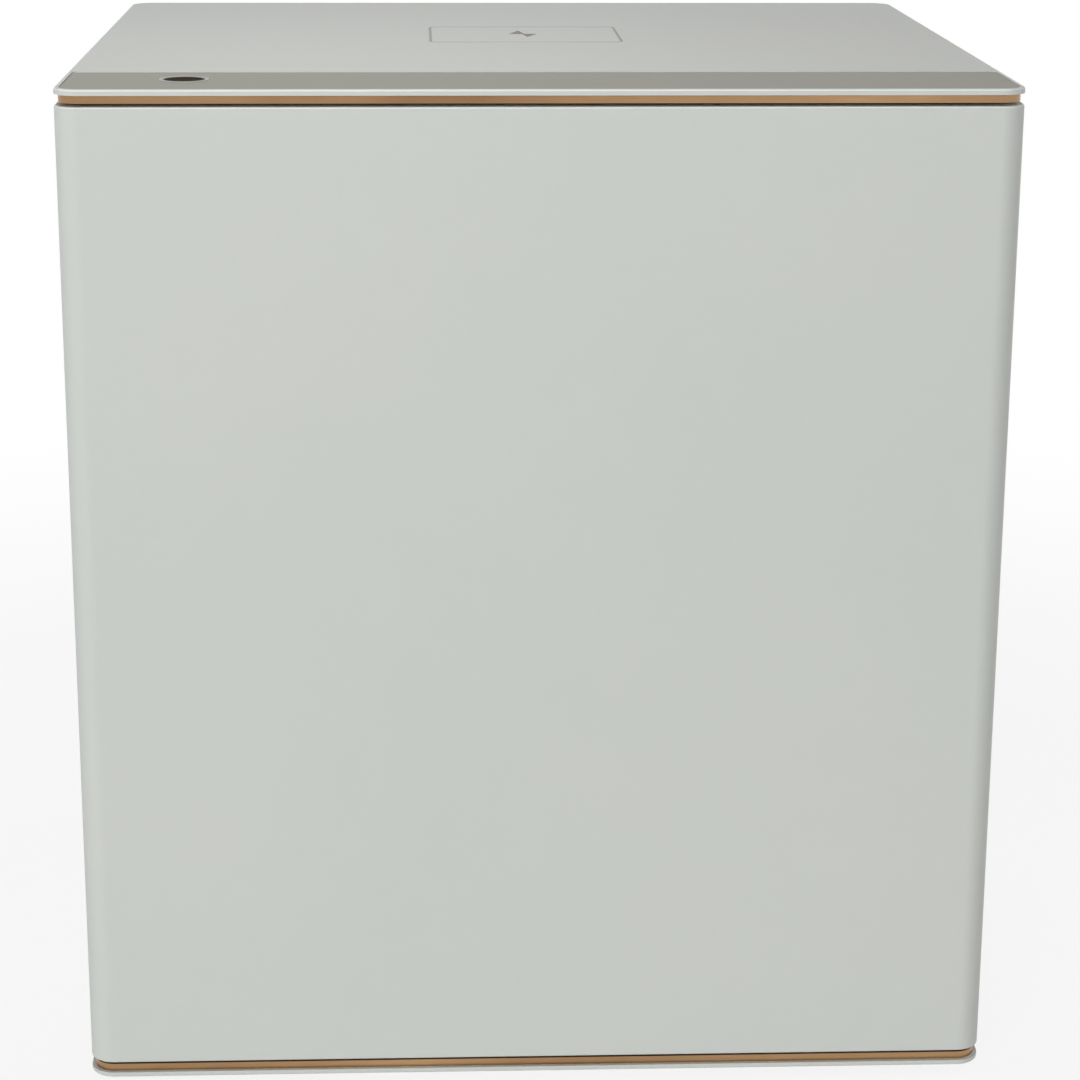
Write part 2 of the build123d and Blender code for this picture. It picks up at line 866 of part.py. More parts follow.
# Door skin, one wrapped white panel with round upright edges
pull_low = door_mid_z - pull_height / 2
pull_high = door_mid_z + pull_height / 2
pull_front = door_back - pull_reach
with BuildPart() as door_skin:
    door_block(door_z, door_top, door_back, 0)
    ends = door_skin.faces().sort_by(Axis.Z)
    rims = [*ends[0].edges(), *ends[-1].edges()]
    fillet([rim for rim in rims if rim.center().Y < door_back - cut_over], edge_round)
    door_block(door_z + skin_wall, door_top - skin_wall, door_back + cut_over, skin_wall, Mode.SUBTRACT)
    for z_low in (door_z, door_top - skin_wall):
        rod_z(pivot_x, pivot_y, z_low, z_low + skin_wall, bush_radius + fit_gap, Mode.SUBTRACT)
    block(
        -half_width - cut_over,
        -half_width + skin_wall + cut_over,
        pull_front,
        door_back + cut_over,
        pull_low,
        pull_high,
        Mode.SUBTRACT,
    )
keep(door_skin, "door_skin")

# Armour plate that closes the back of the door
with BuildPart() as door_armour_plate:
    block(
        -half_width + skin_wall + fit_gap,
        half_width - skin_wall - fit_gap,
        armour_front,
        door_back,
        door_z + skin_wall + fit_gap,
        door_top - skin_wall - fit_gap,
    )
    block(
        -half_width,
        -half_width + pull_depth + fit_gap,
        armour_front - cut_over,
        door_back + cut_over,
        pull_low,
        pull_high,
        Mode.SUBTRACT,
    )
keep(door_armour_plate, "door_armour_plate")

# Finger pull, a moulded cup that opens to the side and to the back
with BuildPart() as finger_pull_cup:
    block(
        -half_width + fit_gap,
        -half_width + pull_depth,
        pull_front + fit_gap,
        door_back,
        pull_low + fit_gap,
        pull_high - fit_gap,
    )
    with BuildSketch(Plane.XY.offset(pull_low + fit_gap + pull_wall)) as hollow:
        with Locations(Location((-half_width, door_back))):
            Rectangle(2 * (pull_depth - pull_wall), 2 * (pull_reach - fit_gap - pull_wall))
        fillet(hollow.vertices(), pull_radius)
    extrude(amount=pull_height - 2 * (fit_gap + pull_wall), mode=Mode.SUBTRACT)
keep(finger_pull_cup, "finger_pull_cup")

# Steel hinge blocks inside the door, at its bottom and at its top, bored for their bushes
with BuildPart() as hinge_blocks:
    for z_low in (door_z + skin_wall, door_top - skin_wall - hinge_block_height):
        block(
            half_width - skin_wall - fit_gap - hinge_block_width,
            half_width - skin_wall - fit_gap,
            hinge_block_front,
            armour_front,
            z_low,
            z_low + hinge_block_height,
        )
        rod_z(pivot_x, pivot_y, z_low, z_low + hinge_block_height, bush_radius, Mode.SUBTRACT)
keep(hinge_blocks, "hinge_blocks")

# Bronze bushes in the hinge blocks
with BuildPart() as hinge_bushes:
    for z_low in (door_z, door_top - skin_wall - hinge_block_height):
        with BuildSketch(Plane.XY.offset(z_low)) as bush:
            with Locations((pivot_x, pivot_y)):
                Circle(bush_radius)
                Circle(pin_radius + running_gap, mode=Mode.SUBTRACT)
        extrude(bush.sketch, amount=skin_wall + hinge_block_height)
keep(hinge_bushes, "hinge_bushes")

# Seal of soft foam round the mouth, glued to the back of the door
with BuildPart() as door_seal:
    with BuildSketch(Plane.XZ.offset(-door_back)):
        with Locations((0, (mouth_low + mouth_high) / 2)):
            seal_x = 2 * (mouth_half + seal_margin)
            seal_z = mouth_high - mouth_low + 2 * seal_margin
            RectangleRounded(seal_x + 2 * seal_width, seal_z + 2 * seal_width, mouth_radius + seal_width)
            RectangleRounded(seal_x, seal_z, mouth_radius, mode=Mode.SUBTRACT)
    extrude(amount=-seal_thickness)
keep(door_seal, "door_seal")

# Boltwork housing, a welded pan with posts for its cover
with BuildPart() as boltwork_housing:
    plug_block(door_back, cover_front, 0)
    plug_block(housing_floor, cover_front + cut_over, plug_wall, Mode.SUBTRACT)
    for x, z in post_places():
        rod_y(x, z, housing_floor, cover_front, post_radius)
        rod_y(x, z, cover_front - screw_hole_depth, cover_front, screw_radius, Mode.SUBTRACT)
    for z in bolt_heights():
        rod_x(live_bolt_y, z, plug_left - cut_over, plug_left + plug_wall + cut_over,
              bolt_radius + guide_wall, Mode.SUBTRACT)
        rod_x(fixed_bolt_y, z, plug_right - plug_wall - cut_over, plug_right + cut_over,
              bolt_shank_radius, Mode.SUBTRACT)
keep(boltwork_housing, "boltwork_housing")

# Guides of nylon for the live bolts, with a flange inside the housing
with BuildPart() as bolt_guides:
    for z in bolt_heights():
        rod_x(live_bolt_y, z, plug_left, plug_left + plug_wall, bolt_radius + guide_wall)
        rod_x(live_bolt_y, z, plug_left + plug_wall, plug_left + plug_wall + guide_thickness,
              bolt_radius + guide_wall + guide_flange)
        rod_x(live_bolt_y, z, plug_left - cut_over, plug_left + plug_wall + guide_thickness + cut_over,
              bolt_radius + 2 * running_gap, Mode.SUBTRACT)
keep(bolt_guides, "bolt_guides")

# Live bolts, turned steel with a shank through the flange of the bolt bar
with BuildPart() as live_bolts:
    for z in bolt_heights():
        rod_x(live_bolt_y, z, plug_left, bar_left, bolt_radius)
        rod_x(live_bolt_y, z, bar_left, bar_left + bolt_shank_length, bolt_shank_radius)
    tips = live_bolts.edges().filter_by(GeomType.CIRCLE).group_by(Axis.X)[0]
    chamfer(tips, bolt_tip)
keep(live_bolts, "live_bolts")


def nut_ring(x_low, y, z):
    """Add one hexagon nut whose bore takes a bolt's shank."""
    with BuildSketch(Plane.YZ.offset(x_low)) as nut:
        with Locations((y, z)):
            RegularPolygon(nut_flats / 2, 6, major_radius=False)
            Circle(bolt_shank_radius, mode=Mode.SUBTRACT)
    extrude(nut.sketch, amount=nut_thickness)


# Nuts that hold the live bolts to the bar
with BuildPart() as bolt_nuts:
    for z in bolt_heights():
        nut_ring(bar_left + bar_thickness, live_bolt_y, z)
keep(bolt_nuts, "bolt_nuts")

# Fixed bolts on the hinge side, held by nuts inside the housing
with BuildPart() as fixed_bolts:
    for z in bolt_heights():
        rod_x(fixed_bolt_y, z, plug_right, plug_right + fixed_bolt_length, bolt_radius)
        rod_x(fixed_bolt_y, z, plug_right - bolt_shank_length, plug_right, bolt_shank_radius)
    tips = fixed_bolts.edges().filter_by(GeomType.CIRCLE).group_by(Axis.X)[-1]
    chamfer(tips, bolt_tip)
keep(fixed_bolts, "fixed_bolts")

with BuildPart() as fixed_bolt_nuts:
    for z in bolt_heights():
        nut_ring(plug_right - plug_wall - nut_thickness, fixed_bolt_y, z)
keep(fixed_bolt_nuts, "fixed_bolt_nuts")

# Bolt bar, an angle with an arm for the rack and slots for its guide studs
bar_low = plug_mid_z - bolt_spacing - bar_end
bar_high = plug_mid_z + bolt_spacing + bar_end
arm_low = plug_mid_z - arm_height / 2
arm_high = plug_mid_z + arm_height / 2
rack_left = pinion_x - rack_lead
rack_right = pinion_x + bolt_throw + rack_lead
stud_x = bar_left + bar_width / 2
with BuildPart() as bolt_bar:
    block(bar_left, bar_left + bar_width + bolt_throw, bar_front, bar_back, bar_low, bar_high)
    block(bar_left, rack_right, bar_front, bar_back, arm_low, arm_high)
    block(bar_left, bar_left + bar_thickness, bar_front, bar_flange_back, bar_low, bar_high)
    for z in bolt_heights():
        rod_x(live_bolt_y, z, bar_left - cut_over, bar_left + bar_thickness + cut_over, bolt_shank_radius,
              Mode.SUBTRACT)
    for step in (-1, 1):
        with BuildSketch(Plane.XZ.offset(-bar_front)) as slot:
            with Locations((stud_x + bolt_throw / 2, plug_mid_z + step * stud_spacing / 2)):
                SlotCenterToCenter(bolt_throw, 2 * (stud_radius + stud_gap))
        extrude(slot.sketch, amount=-bar_thickness, mode=Mode.SUBTRACT)
keep(bolt_bar, "bolt_bar")

# Shouldered studs that the bolt bar slides on
with BuildPart() as bar_studs:
    for step in (-1, 1):
        z = plug_mid_z + step * stud_spacing / 2
        rod_y(stud_x, z, housing_floor, bar_back + seat_gap, stud_radius)
        rod_y(stud_x, z, bar_back + seat_gap, bar_back + seat_gap + stud_head_height, stud_head_radius)
        rod_y(stud_x, z, housing_floor, bar_front - seat_gap, stud_head_radius)
keep(bar_studs, "bar_studs")

# Rack on the arm of the bolt bar, with straight flanks at the pressure angle
tooth_pitch = math.pi * gear_module
addendum = gear_module
dedendum = dedendum_share * gear_module
with BuildPart() as drive_rack:
    teeth_low = math.ceil((rack_left - pinion_x) / tooth_pitch)
    teeth_high = math.floor((rack_right - pinion_x) / tooth_pitch)
    half_tooth = (tooth_pitch / 2 - backlash) / 2
    tip_half = half_tooth - addendum * math.tan(pressure_angle)
    root_half = half_tooth + dedendum * math.tan(pressure_angle)
    root_z = rack_pitch_z - dedendum
    outline = [(rack_left - half_tooth, root_z)]
    for tooth in range(teeth_low, teeth_high + 1):
        x = pinion_x + tooth * tooth_pitch
        outline.append((x - root_half, root_z))
        outline.append((x - tip_half, rack_pitch_z + addendum))
        outline.append((x + tip_half, rack_pitch_z + addendum))
        outline.append((x + root_half, root_z))
    outline.append((rack_right + half_tooth, root_z))
    outline.append((rack_right + half_tooth, rack_pitch_z - rack_depth))
    outline.append((rack_left - half_tooth, rack_pitch_z - rack_depth))
    with BuildSketch(Plane.XZ.offset(-bar_back)):
        with BuildLine():
            Polyline(*outline, close=True)
        make_face()
    extrude(amount=-rack_thickness)
keep(drive_rack, "drive_rack")


def flank_point(radius, side, middle):
    """Point of a tooth's involute flank at a radius from the pinion's centre."""
    base = pinion_pitch_radius * math.cos(pressure_angle)
    roll = math.sqrt(max((radius / base) ** 2 - 1, 0))
    involute = roll - math.atan(roll)
    pitch_involute = math.tan(pressure_angle) - pressure_angle
    half_angle = math.pi / (2 * pinion_teeth) - backlash / (2 * pinion_pitch_radius)
    angle = middle + side * (half_angle + pitch_involute - involute)
    return (pinion_x + radius * math.sin(angle), pinion_z - radius * math.cos(angle))


def tooth_foot(side, middle):
    """Point inside the pinion's root circle under one side of a tooth."""
    radius = pinion_pitch_radius - dedendum - addendum
    angle = middle + side * math.pi / (2 * pinion_teeth)
    return (pinion_x + radius * math.sin(angle), pinion_z - radius * math.cos(angle))


# Drive pinion, with involute teeth in mesh with the rack and a tooth space at its lowest point
with BuildPart() as drive_pinion:
    base_radius = pinion_pitch_radius * math.cos(pressure_angle)
    tip_radius = pinion_pitch_radius + addendum
    root_radius = pinion_pitch_radius - dedendum
    pinion_front = bar_back + pinion_side_gap
    with BuildSketch(Plane.XZ.offset(-pinion_front)) as pinion_face:
        with Locations((pinion_x, pinion_z)):
            Circle(root_radius)
        for tooth in range(pinion_teeth):
            middle = 2 * math.pi * (tooth + 0.5) / pinion_teeth
            flank_rise = (tip_radius - base_radius) / flank_steps
            flank_radii = [base_radius + step * flank_rise for step in range(flank_steps + 1)]
            rising = [flank_point(radius, -1, middle) for radius in flank_radii]
            falling = [flank_point(radius, 1, middle) for radius in reversed(flank_radii)]
            first_foot = tooth_foot(-1, middle)
            last_foot = tooth_foot(1, middle)
            with BuildLine():
                Line(first_foot, rising[0])
                Spline(*rising)
                Line(rising[-1], falling[0])
                Spline(*falling)
                Line(falling[-1], last_foot)
                Line(last_foot, first_foot)
            make_face()
        with Locations((pinion_x, pinion_z)):
            Circle(shaft_radius, mode=Mode.SUBTRACT)
    extrude(amount=-pinion_width)
keep(drive_pinion, "drive_pinion")

# Output shaft of the gearbox, which carries the pinion
with BuildPart() as output_shaft:
    rod_y(pinion_x, pinion_z, pinion_front, gearbox_back - bracket_thickness, shaft_radius)
keep(output_shaft, "output_shaft")

# Motor bracket, a folded channel over the rack and the pinion
with BuildPart() as motor_bracket:
    bracket_left = pinion_x - bracket_width / 2
    bracket_right = pinion_x + bracket_width / 2
    block(bracket_left, bracket_right, housing_floor, gearbox_front, bracket_low, bracket_high)
    block(
        bracket_left - cut_over,
        bracket_right + cut_over,
        housing_floor - cut_over,
        bracket_front,
        bracket_low + bracket_thickness,
        bracket_high - bracket_thickness,
        Mode.SUBTRACT,
    )
    rod_y(pinion_x, pinion_z, bracket_front, gearbox_front, shaft_radius + seat_gap, Mode.SUBTRACT)
keep(motor_bracket, "motor_bracket")

# Gearbox on the bracket, and the motor on its side
with BuildPart() as gearbox:
    block(
        pinion_x - gearbox_size / 2,
        pinion_x + gearbox_size / 2,
        gearbox_front,
        gearbox_back,
        pinion_z - gearbox_size / 2,
        pinion_z + gearbox_size / 2,
    )
    fillet(gearbox.edges().filter_by(Axis.Y), 2 * edge_round)
    rod_y(pinion_x, pinion_z, gearbox_front - cut_over, gearbox_back - bracket_thickness + fit_gap,
          shaft_radius + running_gap, Mode.SUBTRACT)
keep(gearbox, "gearbox")

motor_left = pinion_x + gearbox_size / 2
with BuildPart() as lock_motor:
    motor_y = gearbox_front + motor_radius + running_gap
    rod_x(motor_y, pinion_z, motor_left, motor_left + motor_length, motor_radius)
    chamfer(lock_motor.edges().group_by(Axis.X)[-1], edge_round)
keep(lock_motor, "lock_motor")

# Battery case, an open tray with one well for each cell
case_low = battery_z - case_length / 2
first_cell_x = battery_x - (battery_count - 1) * battery_pitch / 2
with BuildPart() as battery_case:
    block(
        battery_x - case_width / 2,
        battery_x + case_width / 2,
        housing_floor,
        case_back,
        case_low,
        case_low + case_length,
    )
    for cell in range(battery_count):
        cell_x = first_cell_x + cell * battery_pitch
        cell_half = battery_radius + battery_gap
        block(
            cell_x - cell_half,
            cell_x + cell_half,
            housing_floor + case_wall,
            case_back + cut_over,
            case_low + case_wall,
            case_low + case_length - case_wall,
            Mode.SUBTRACT,
        )
keep(battery_case, "battery_case")

# Four cells that run the lock when the mains is off
cell_y = housing_floor + case_wall + battery_radius + fit_gap
cell_low = case_low + case_wall + battery_gap
with BuildPart() as batteries:
    for cell in range(battery_count):
        cell_x = first_cell_x + cell * battery_pitch
        rod_z(cell_x, cell_y, cell_low, cell_low + battery_length, battery_radius)
        rod_z(cell_x, cell_y, cell_low + battery_length, cell_low + battery_length + battery_nub,
              battery_nub_radius)
keep(batteries, "batteries")

# Inner cover of the boltwork, screwed to the posts, with a window for the battery lid.
# A moulded bead runs round it to keep the cover stiff.
lid_half_x = case_width / 2 + lid_overlap
lid_half_z = case_length / 2 + lid_overlap
with BuildPart() as inner_cover:
    plug_block(cover_front, plug_back, 0)
    fillet(inner_cover.faces().sort_by(Axis.Y)[-1].edges(), edge_round)
    with BuildSketch(Plane.XZ.offset(-cover_front)) as cuts:
        with Locations((battery_x, battery_z)):
            RectangleRounded(2 * lid_half_x, 2 * lid_half_z, lid_radius)
        with Locations((reset_x, reset_z)):
            Circle(reset_radius + reset_gap)
        with Locations(*post_places()):
            Circle(screw_radius)
    extrude(amount=-cover_thickness, mode=Mode.SUBTRACT)
    with BuildSketch(Plane.XZ.offset(-plug_back)) as bead:
        with Locations((plug_mid_x, plug_mid_z)):
            bead_x = plug_width - 2 * bead_inset
            bead_z = plug_height - 2 * bead_inset
            RectangleRounded(bead_x, bead_z, bead_radius)
            RectangleRounded(bead_x - 2 * bead_width, bead_z - 2 * bead_width, bead_radius - bead_width,
                             mode=Mode.SUBTRACT)
    extrude(bead.sketch, amount=bead_depth, mode=Mode.SUBTRACT)
keep(inner_cover, "inner_cover")

# Battery lid, a clip-off cover in the window, with two locating ribs over the case
# and a ribbed hollow for the thumb at its upper edge
with BuildPart() as battery_cover:
    with BuildSketch(Plane.XZ.offset(-cover_front)):
        with Locations((battery_x, battery_z)):
            RectangleRounded(2 * (lid_half_x - lid_gap), 2 * (lid_half_z - lid_gap), lid_radius - lid_gap)
    extrude(amount=-cover_thickness)
    rib_front = case_back + seat_gap
    for side in (-1, 1):
        rib_x = battery_x + side * battery_pitch
        block(
            rib_x - case_wall / 2,
            rib_x + case_wall / 2,
            rib_front,
            cover_front,
            battery_z - case_length / 4,
            battery_z + case_length / 4,
        )
    with BuildSketch(Plane.XZ.offset(-plug_back)) as grip:
        with Locations((battery_x, battery_z + lid_half_z - grip_inset)):
            SlotOverall(grip_width, grip_height)
            with GridLocations(grip_rib_pitch, 0, grip_rib_count, 1):
                Rectangle(grip_rib_width, grip_height, mode=Mode.SUBTRACT)
    extrude(grip.sketch, amount=grip_depth, mode=Mode.SUBTRACT)
keep(battery_cover, "battery_cover")

# Small door board on standoffs, with the reset switch soldered to it
door_board_front = housing_floor + standoff_height
door_board_back = door_board_front + board_thickness
button_front = cover_front - fit_gap - reset_flange - reset_stem
with BuildPart() as door_board:
    block(
        reset_x - door_board_width / 2,
        reset_x + door_board_width / 2,
        door_board_front,
        door_board_back,
        reset_z - door_board_height / 2,
        reset_z + door_board_height / 2,
    )
    for side_x in (-1, 1):
        for side_z in (-1, 1):
            rod_y(
                reset_x + side_x * (door_board_width / 2 - 2 * standoff_radius),
                reset_z + side_z * (door_board_height / 2 - 2 * standoff_radius),
                housing_floor,
                door_board_front,
                standoff_radius,
            )
    block(
        reset_x - switch_size / 2,
        reset_x + switch_size / 2,
        door_board_back,
        button_front - reset_travel - seat_gap,
        reset_z - switch_size / 2,
        reset_z + switch_size / 2,
    )
keep(door_board, "door_board")

# Reset button, a stepped cap that is held behind the cover by its flange
with BuildPart() as reset_button:
    rod_y(reset_x, reset_z, button_front, plug_back + reset_proud, reset_radius)
    rod_y(reset_x, reset_z, cover_front - fit_gap - reset_flange, cover_front - fit_gap,
          reset_radius + reset_flange)
    fillet(reset_button.edges().group_by(Axis.Y)[-1], edge_round / 2)
keep(reset_button, "reset_button")

# Cover screws with hexagon sockets
with BuildPart() as cover_screws:
    for x, z in post_places():
        rod_y(x, z, cover_front - screw_length, plug_back, screw_radius)
        rod_y(x, z, plug_back, plug_back + screw_head_height, screw_head_radius)
    heads = cover_screws.edges().filter_by(GeomType.CIRCLE).group_by(Axis.Y)[-1]
    fillet(heads, edge_round / 2)
    with BuildSketch(Plane.XZ.offset(-(plug_back + screw_head_height))) as keys:
        with Locations(*post_places()):
            RegularPolygon(screw_key_radius, 6)
    extrude(keys.sketch, amount=screw_key_depth, mode=Mode.SUBTRACT)
keep(cover_screws, "cover_screws")

# Magnet inside the housing, under the door sensor
with BuildPart() as door_magnet:
    block(
        sensor_x - magnet_length / 2,
        sensor_x + magnet_length / 2,
        frame_back,
        frame_back + magnet_height,
        plug_high - plug_wall - magnet_depth,
        plug_high - plug_wall,
    )
keep(door_magnet, "door_magnet")
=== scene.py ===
import json
import math

import bmesh
import bpy
from mathutils import Matrix, Vector


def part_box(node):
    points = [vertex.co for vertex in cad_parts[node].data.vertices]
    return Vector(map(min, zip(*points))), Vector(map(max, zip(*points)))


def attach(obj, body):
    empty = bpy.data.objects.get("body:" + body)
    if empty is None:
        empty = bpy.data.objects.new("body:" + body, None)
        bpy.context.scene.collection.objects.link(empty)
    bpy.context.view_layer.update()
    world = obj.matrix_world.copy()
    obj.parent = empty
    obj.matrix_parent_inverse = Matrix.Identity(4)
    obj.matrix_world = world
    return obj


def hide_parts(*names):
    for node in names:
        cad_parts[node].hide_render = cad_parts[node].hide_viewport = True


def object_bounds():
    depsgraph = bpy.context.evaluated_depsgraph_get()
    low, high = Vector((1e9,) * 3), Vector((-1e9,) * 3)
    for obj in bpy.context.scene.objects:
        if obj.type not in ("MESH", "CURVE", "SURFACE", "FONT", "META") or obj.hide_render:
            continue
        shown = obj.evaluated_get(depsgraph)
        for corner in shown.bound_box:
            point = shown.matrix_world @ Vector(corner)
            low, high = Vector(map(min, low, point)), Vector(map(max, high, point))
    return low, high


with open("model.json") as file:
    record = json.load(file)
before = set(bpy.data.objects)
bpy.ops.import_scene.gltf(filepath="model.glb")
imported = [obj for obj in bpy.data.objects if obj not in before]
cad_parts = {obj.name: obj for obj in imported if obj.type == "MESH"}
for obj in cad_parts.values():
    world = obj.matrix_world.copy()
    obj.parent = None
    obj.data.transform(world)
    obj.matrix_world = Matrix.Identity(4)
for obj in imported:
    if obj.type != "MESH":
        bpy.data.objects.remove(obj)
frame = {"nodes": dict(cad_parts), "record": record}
cad_low, cad_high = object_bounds()

# Camera at the height and distance of a person who stands in front of the safe and looks down on it.
# The focal length and the small shift are those of the photograph's frame.
camera_place = Vector((-0.060, -1.4935, 0.665))
camera_yaw, camera_pitch, camera_roll = math.radians(-2.38), math.radians(-15.44), math.radians(-0.25)
focal_pixels, frame_pixels = 2813.0, 1080.0
sensor_width = 36.0
principal_x, principal_y = 528.0, 493.0
turn = Matrix.Rotation(camera_yaw, 3, "Z")
turn = turn @ Matrix.Rotation(camera_pitch, 3, "X") @ Matrix.Rotation(camera_roll, 3, "Y")
right, forward, up = turn.col[0], turn.col[1], turn.col[2]
camera_data = bpy.data.cameras.new("camera")
camera_data.sensor_width = sensor_width
camera_data.lens = focal_pixels / frame_pixels * sensor_width
camera_data.shift_x = (frame_pixels / 2 - principal_x) / frame_pixels
camera_data.shift_y = (principal_y - frame_pixels / 2) / frame_pixels
camera = bpy.data.objects.new("camera", camera_data)
camera_axes = Matrix((right, up, -forward)).transposed().to_4x4()
camera.matrix_world = Matrix.Translation(camera_place) @ camera_axes
bpy.context.scene.collection.objects.link(camera)
bpy.context.scene.camera = camera
bpy.context.scene.view_settings.view_transform = "Standard"


# Door panel: one wrapped sheet with round upright edges, sprayed with a satin white lacquer.
# The sheet is open at the back, where the armour plate closes it, and it is notched for the finger pull.
class Value:
    """A shader socket that can be written in sums: each operator adds its Math node."""

    def __init__(self, tree, socket):
        self.tree = tree
        self.socket = socket

    def apply(self, operation, first, second):
        node = self.tree.nodes.new("ShaderNodeMath")
        node.operation = operation
        join(self.tree, first, node.inputs[0])
        join(self.tree, second, node.inputs[1])
        return Value(self.tree, node.outputs[0])

    def __add__(self, other):
        return self.apply("ADD", self, other)

    def __radd__(self, other):
        return self.apply("ADD", other, self)

    def __sub__(self, other):
        return self.apply("SUBTRACT", self, other)

    def __rsub__(self, other):
        return self.apply("SUBTRACT", other, self)

    def __mul__(self, other):
        return self.apply("MULTIPLY", self, other)

    def __rmul__(self, other):
        return self.apply("MULTIPLY", other, self)


def join(tree, value, socket):
    """Link a wrapped value to a socket, or set the socket to a plain one."""
    if isinstance(value, Value):
        tree.links.new(value.socket, socket)
    else:
        socket.default_value = value


class Nodes:
    """A node tree, and the one way to add a node to it."""

    def __init__(self, tree):
        self.tree = tree

    def node(self, kind, settings, sockets, output=0):
        """Add any node: its settings first, then its sockets' values or links."""
        node = self.tree.nodes.new(kind)
        for name, value in settings.items():
            setattr(node, name, value)
        for name, value in sockets.items():
            join(self.tree, value, node.inputs[name])
        return Value(self.tree, node.outputs[output])


class Finish(Nodes):
    """One surface finish: a Principled shader and the nodes that vary it over the surface."""

    def __init__(self, name, **constants):
        self.material = bpy.data.materials.new(name)
        self.material.use_nodes = True
        super().__init__(self.material.node_tree)
        self.shader = self.tree.nodes["Principled BSDF"]
        for socket, value in constants.items():
            self.shader.inputs[socket.replace("_", " ")].default_value = value

    def place(self, stretch=(1.0, 1.0, 1.0)):
        """The point on the object, in metres, stretched along its axes."""
        point = self.node("ShaderNodeTexCoord", {}, {}, "Object")
        return self.node("ShaderNodeMapping", {}, {"Vector": point, "Scale": stretch})

    def noise(self, point, scale, detail=2.0):
        """Soft noise from 0 to 1, with about one lump to a length of one over the scale."""
        return self.node("ShaderNodeTexNoise", {}, {"Vector": point, "Scale": scale, "Detail": detail})

    def blend(self, mask, first, second):
        """A colour between two colours."""
        return self.node("ShaderNodeMix", {"data_type": "RGBA"}, {0: mask, 6: first, 7: second}, 2)

    def bump(self, height, strength, distance):
        """Raise the surface by a height map."""
        sockets = {"Height": height, "Strength": strength, "Distance": distance}
        self.feed("Normal", self.node("ShaderNodeBump", {}, sockets))

    def feed(self, socket, value):
        """Link a varying value to one of the shader's own sockets."""
        join(self.tree, value, self.shader.inputs[socket])


def srgb(red, green, blue):
    """Linear colour of a colour that is given as it looks on a screen, from 0 to 255."""
    shares = [channel / 255 for channel in (red, green, blue)]
    linear = [share / 12.92 if share <= 0.04045 else ((share + 0.055) / 1.055) ** 2.4 for share in shares]
    return *linear, 1.0


def white_lacquer(name, light, dark):
    """Satin white lacquer with a fine orange peel and a faint drift in tone."""
    paint = Finish(name, Coat_Weight=0.05, Coat_Roughness=0.30, Specular_IOR_Level=0.15)
    drift = paint.noise(paint.place(), 5.0, 3.0)
    peel = paint.noise(paint.place(), 700.0, 2.0)
    dust = paint.noise(paint.place(), 2600.0, 1.0)
    paint.feed("Base Color", paint.blend(drift, light, dark))
    paint.feed("Roughness", 0.42 + drift * 0.08 + dust * 0.05)
    paint.bump(peel * 0.8 + dust * 0.2, 0.10, 0.0002)
    return paint.material


lacquer = white_lacquer("white_lacquer", srgb(210, 214, 211), srgb(214, 215, 210))
# A brighter copy of the lacquer: a painted highlight for the upward-tilted faces of rounded rims.
painted_rim_highlight = white_lacquer("painted_rim_highlight", srgb(238, 238, 234), srgb(242, 241, 236))
highlight_lowest_tilt = 0.30
corner_radius = 0.012
corner_steps = 18
rim_radius = 0.0012
rim_steps = 4
crease_angle = 35.0
same_point = 1e-7
touch = 1e-5
level = 0.9


def box_mesh(low, high):
    """A bmesh block between two corners."""
    mesh = bmesh.new()
    bmesh.ops.create_cube(mesh, size=1.0)
    bmesh.ops.scale(mesh, vec=Vector(high) - Vector(low), verts=mesh.verts)
    bmesh.ops.translate(mesh, vec=(Vector(high) + Vector(low)) / 2, verts=mesh.verts)
    return mesh


def round_edges(mesh, edges, radius, steps):
    """Round the given edges with a true arc."""
    bmesh.ops.bevel(
        mesh, geom=list(edges), offset=radius, offset_type="OFFSET", segments=steps, profile=0.5,
        affect="EDGES", material=-1, clamp_overlap=True,
    )


def upright_edges(mesh, keep=lambda point: True):
    """The upright edges of a block whose middle passes a test."""
    found = []
    for edge in mesh.edges:
        run = edge.verts[1].co - edge.verts[0].co
        middle = (edge.verts[1].co + edge.verts[0].co) / 2
        if abs(run.x) < touch and abs(run.y) < touch and keep(middle):
            found.append(edge)
    return found


def level_edges(mesh, height, keep=lambda point: True):
    """The edges that lie at a height and whose middle passes a test."""
    found = []
    for edge in mesh.edges:
        middle = (edge.verts[1].co + edge.verts[0].co) / 2
        if all(abs(vert.co.z - height) < touch for vert in edge.verts) and keep(middle):
            found.append(edge)
    return found


def shade_evenly(piece, crease=crease_angle, edge=0.0):
    """Smooth a piece up to a crease angle, break its edges if asked, and keep its flat faces flat."""
    piece.data.shade_smooth()
    piece.data.set_sharp_from_angle(angle=math.radians(crease))
    piece.modifiers.clear()
    if edge:
        bevel = piece.modifiers.new("edges", "BEVEL")
        bevel.width = edge
        bevel.segments = 2
        bevel.limit_method = "ANGLE"
        bevel.angle_limit = math.radians(crease_angle + 5)
    even = piece.modifiers.new("even_shading", "WEIGHTED_NORMAL")
    even.mode = "FACE_AREA_WITH_ANGLE"
    even.weight = 90
    even.keep_sharp = True


def finish_piece(mesh, name, body, material, replaced=(), crease=crease_angle, edge=0.0):
    """Turn a bmesh into a shown piece that rides on a body and stands for its CAD nodes."""
    bmesh.ops.remove_doubles(mesh, verts=mesh.verts, dist=same_point)
    data = bpy.data.meshes.new(name)
    mesh.to_mesh(data)
    mesh.free()
    data.materials.append(material)
    piece = bpy.data.objects.new(name, data)
    bpy.context.scene.collection.objects.link(piece)
    shade_evenly(piece, crease, edge)
    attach(piece, body)
    if replaced:
        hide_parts(*replaced)
    return piece


def paint_rim_highlight(piece, finish):
    """Paint a highlight on the middle of a piece's rounded upper rim: a brighter copy of the lacquer on the
    faces that tilt upwards.
    """
    piece.data.materials.append(finish)
    for face in piece.data.polygons:
        face.material_index = int(highlight_lowest_tilt < face.normal.z < level)


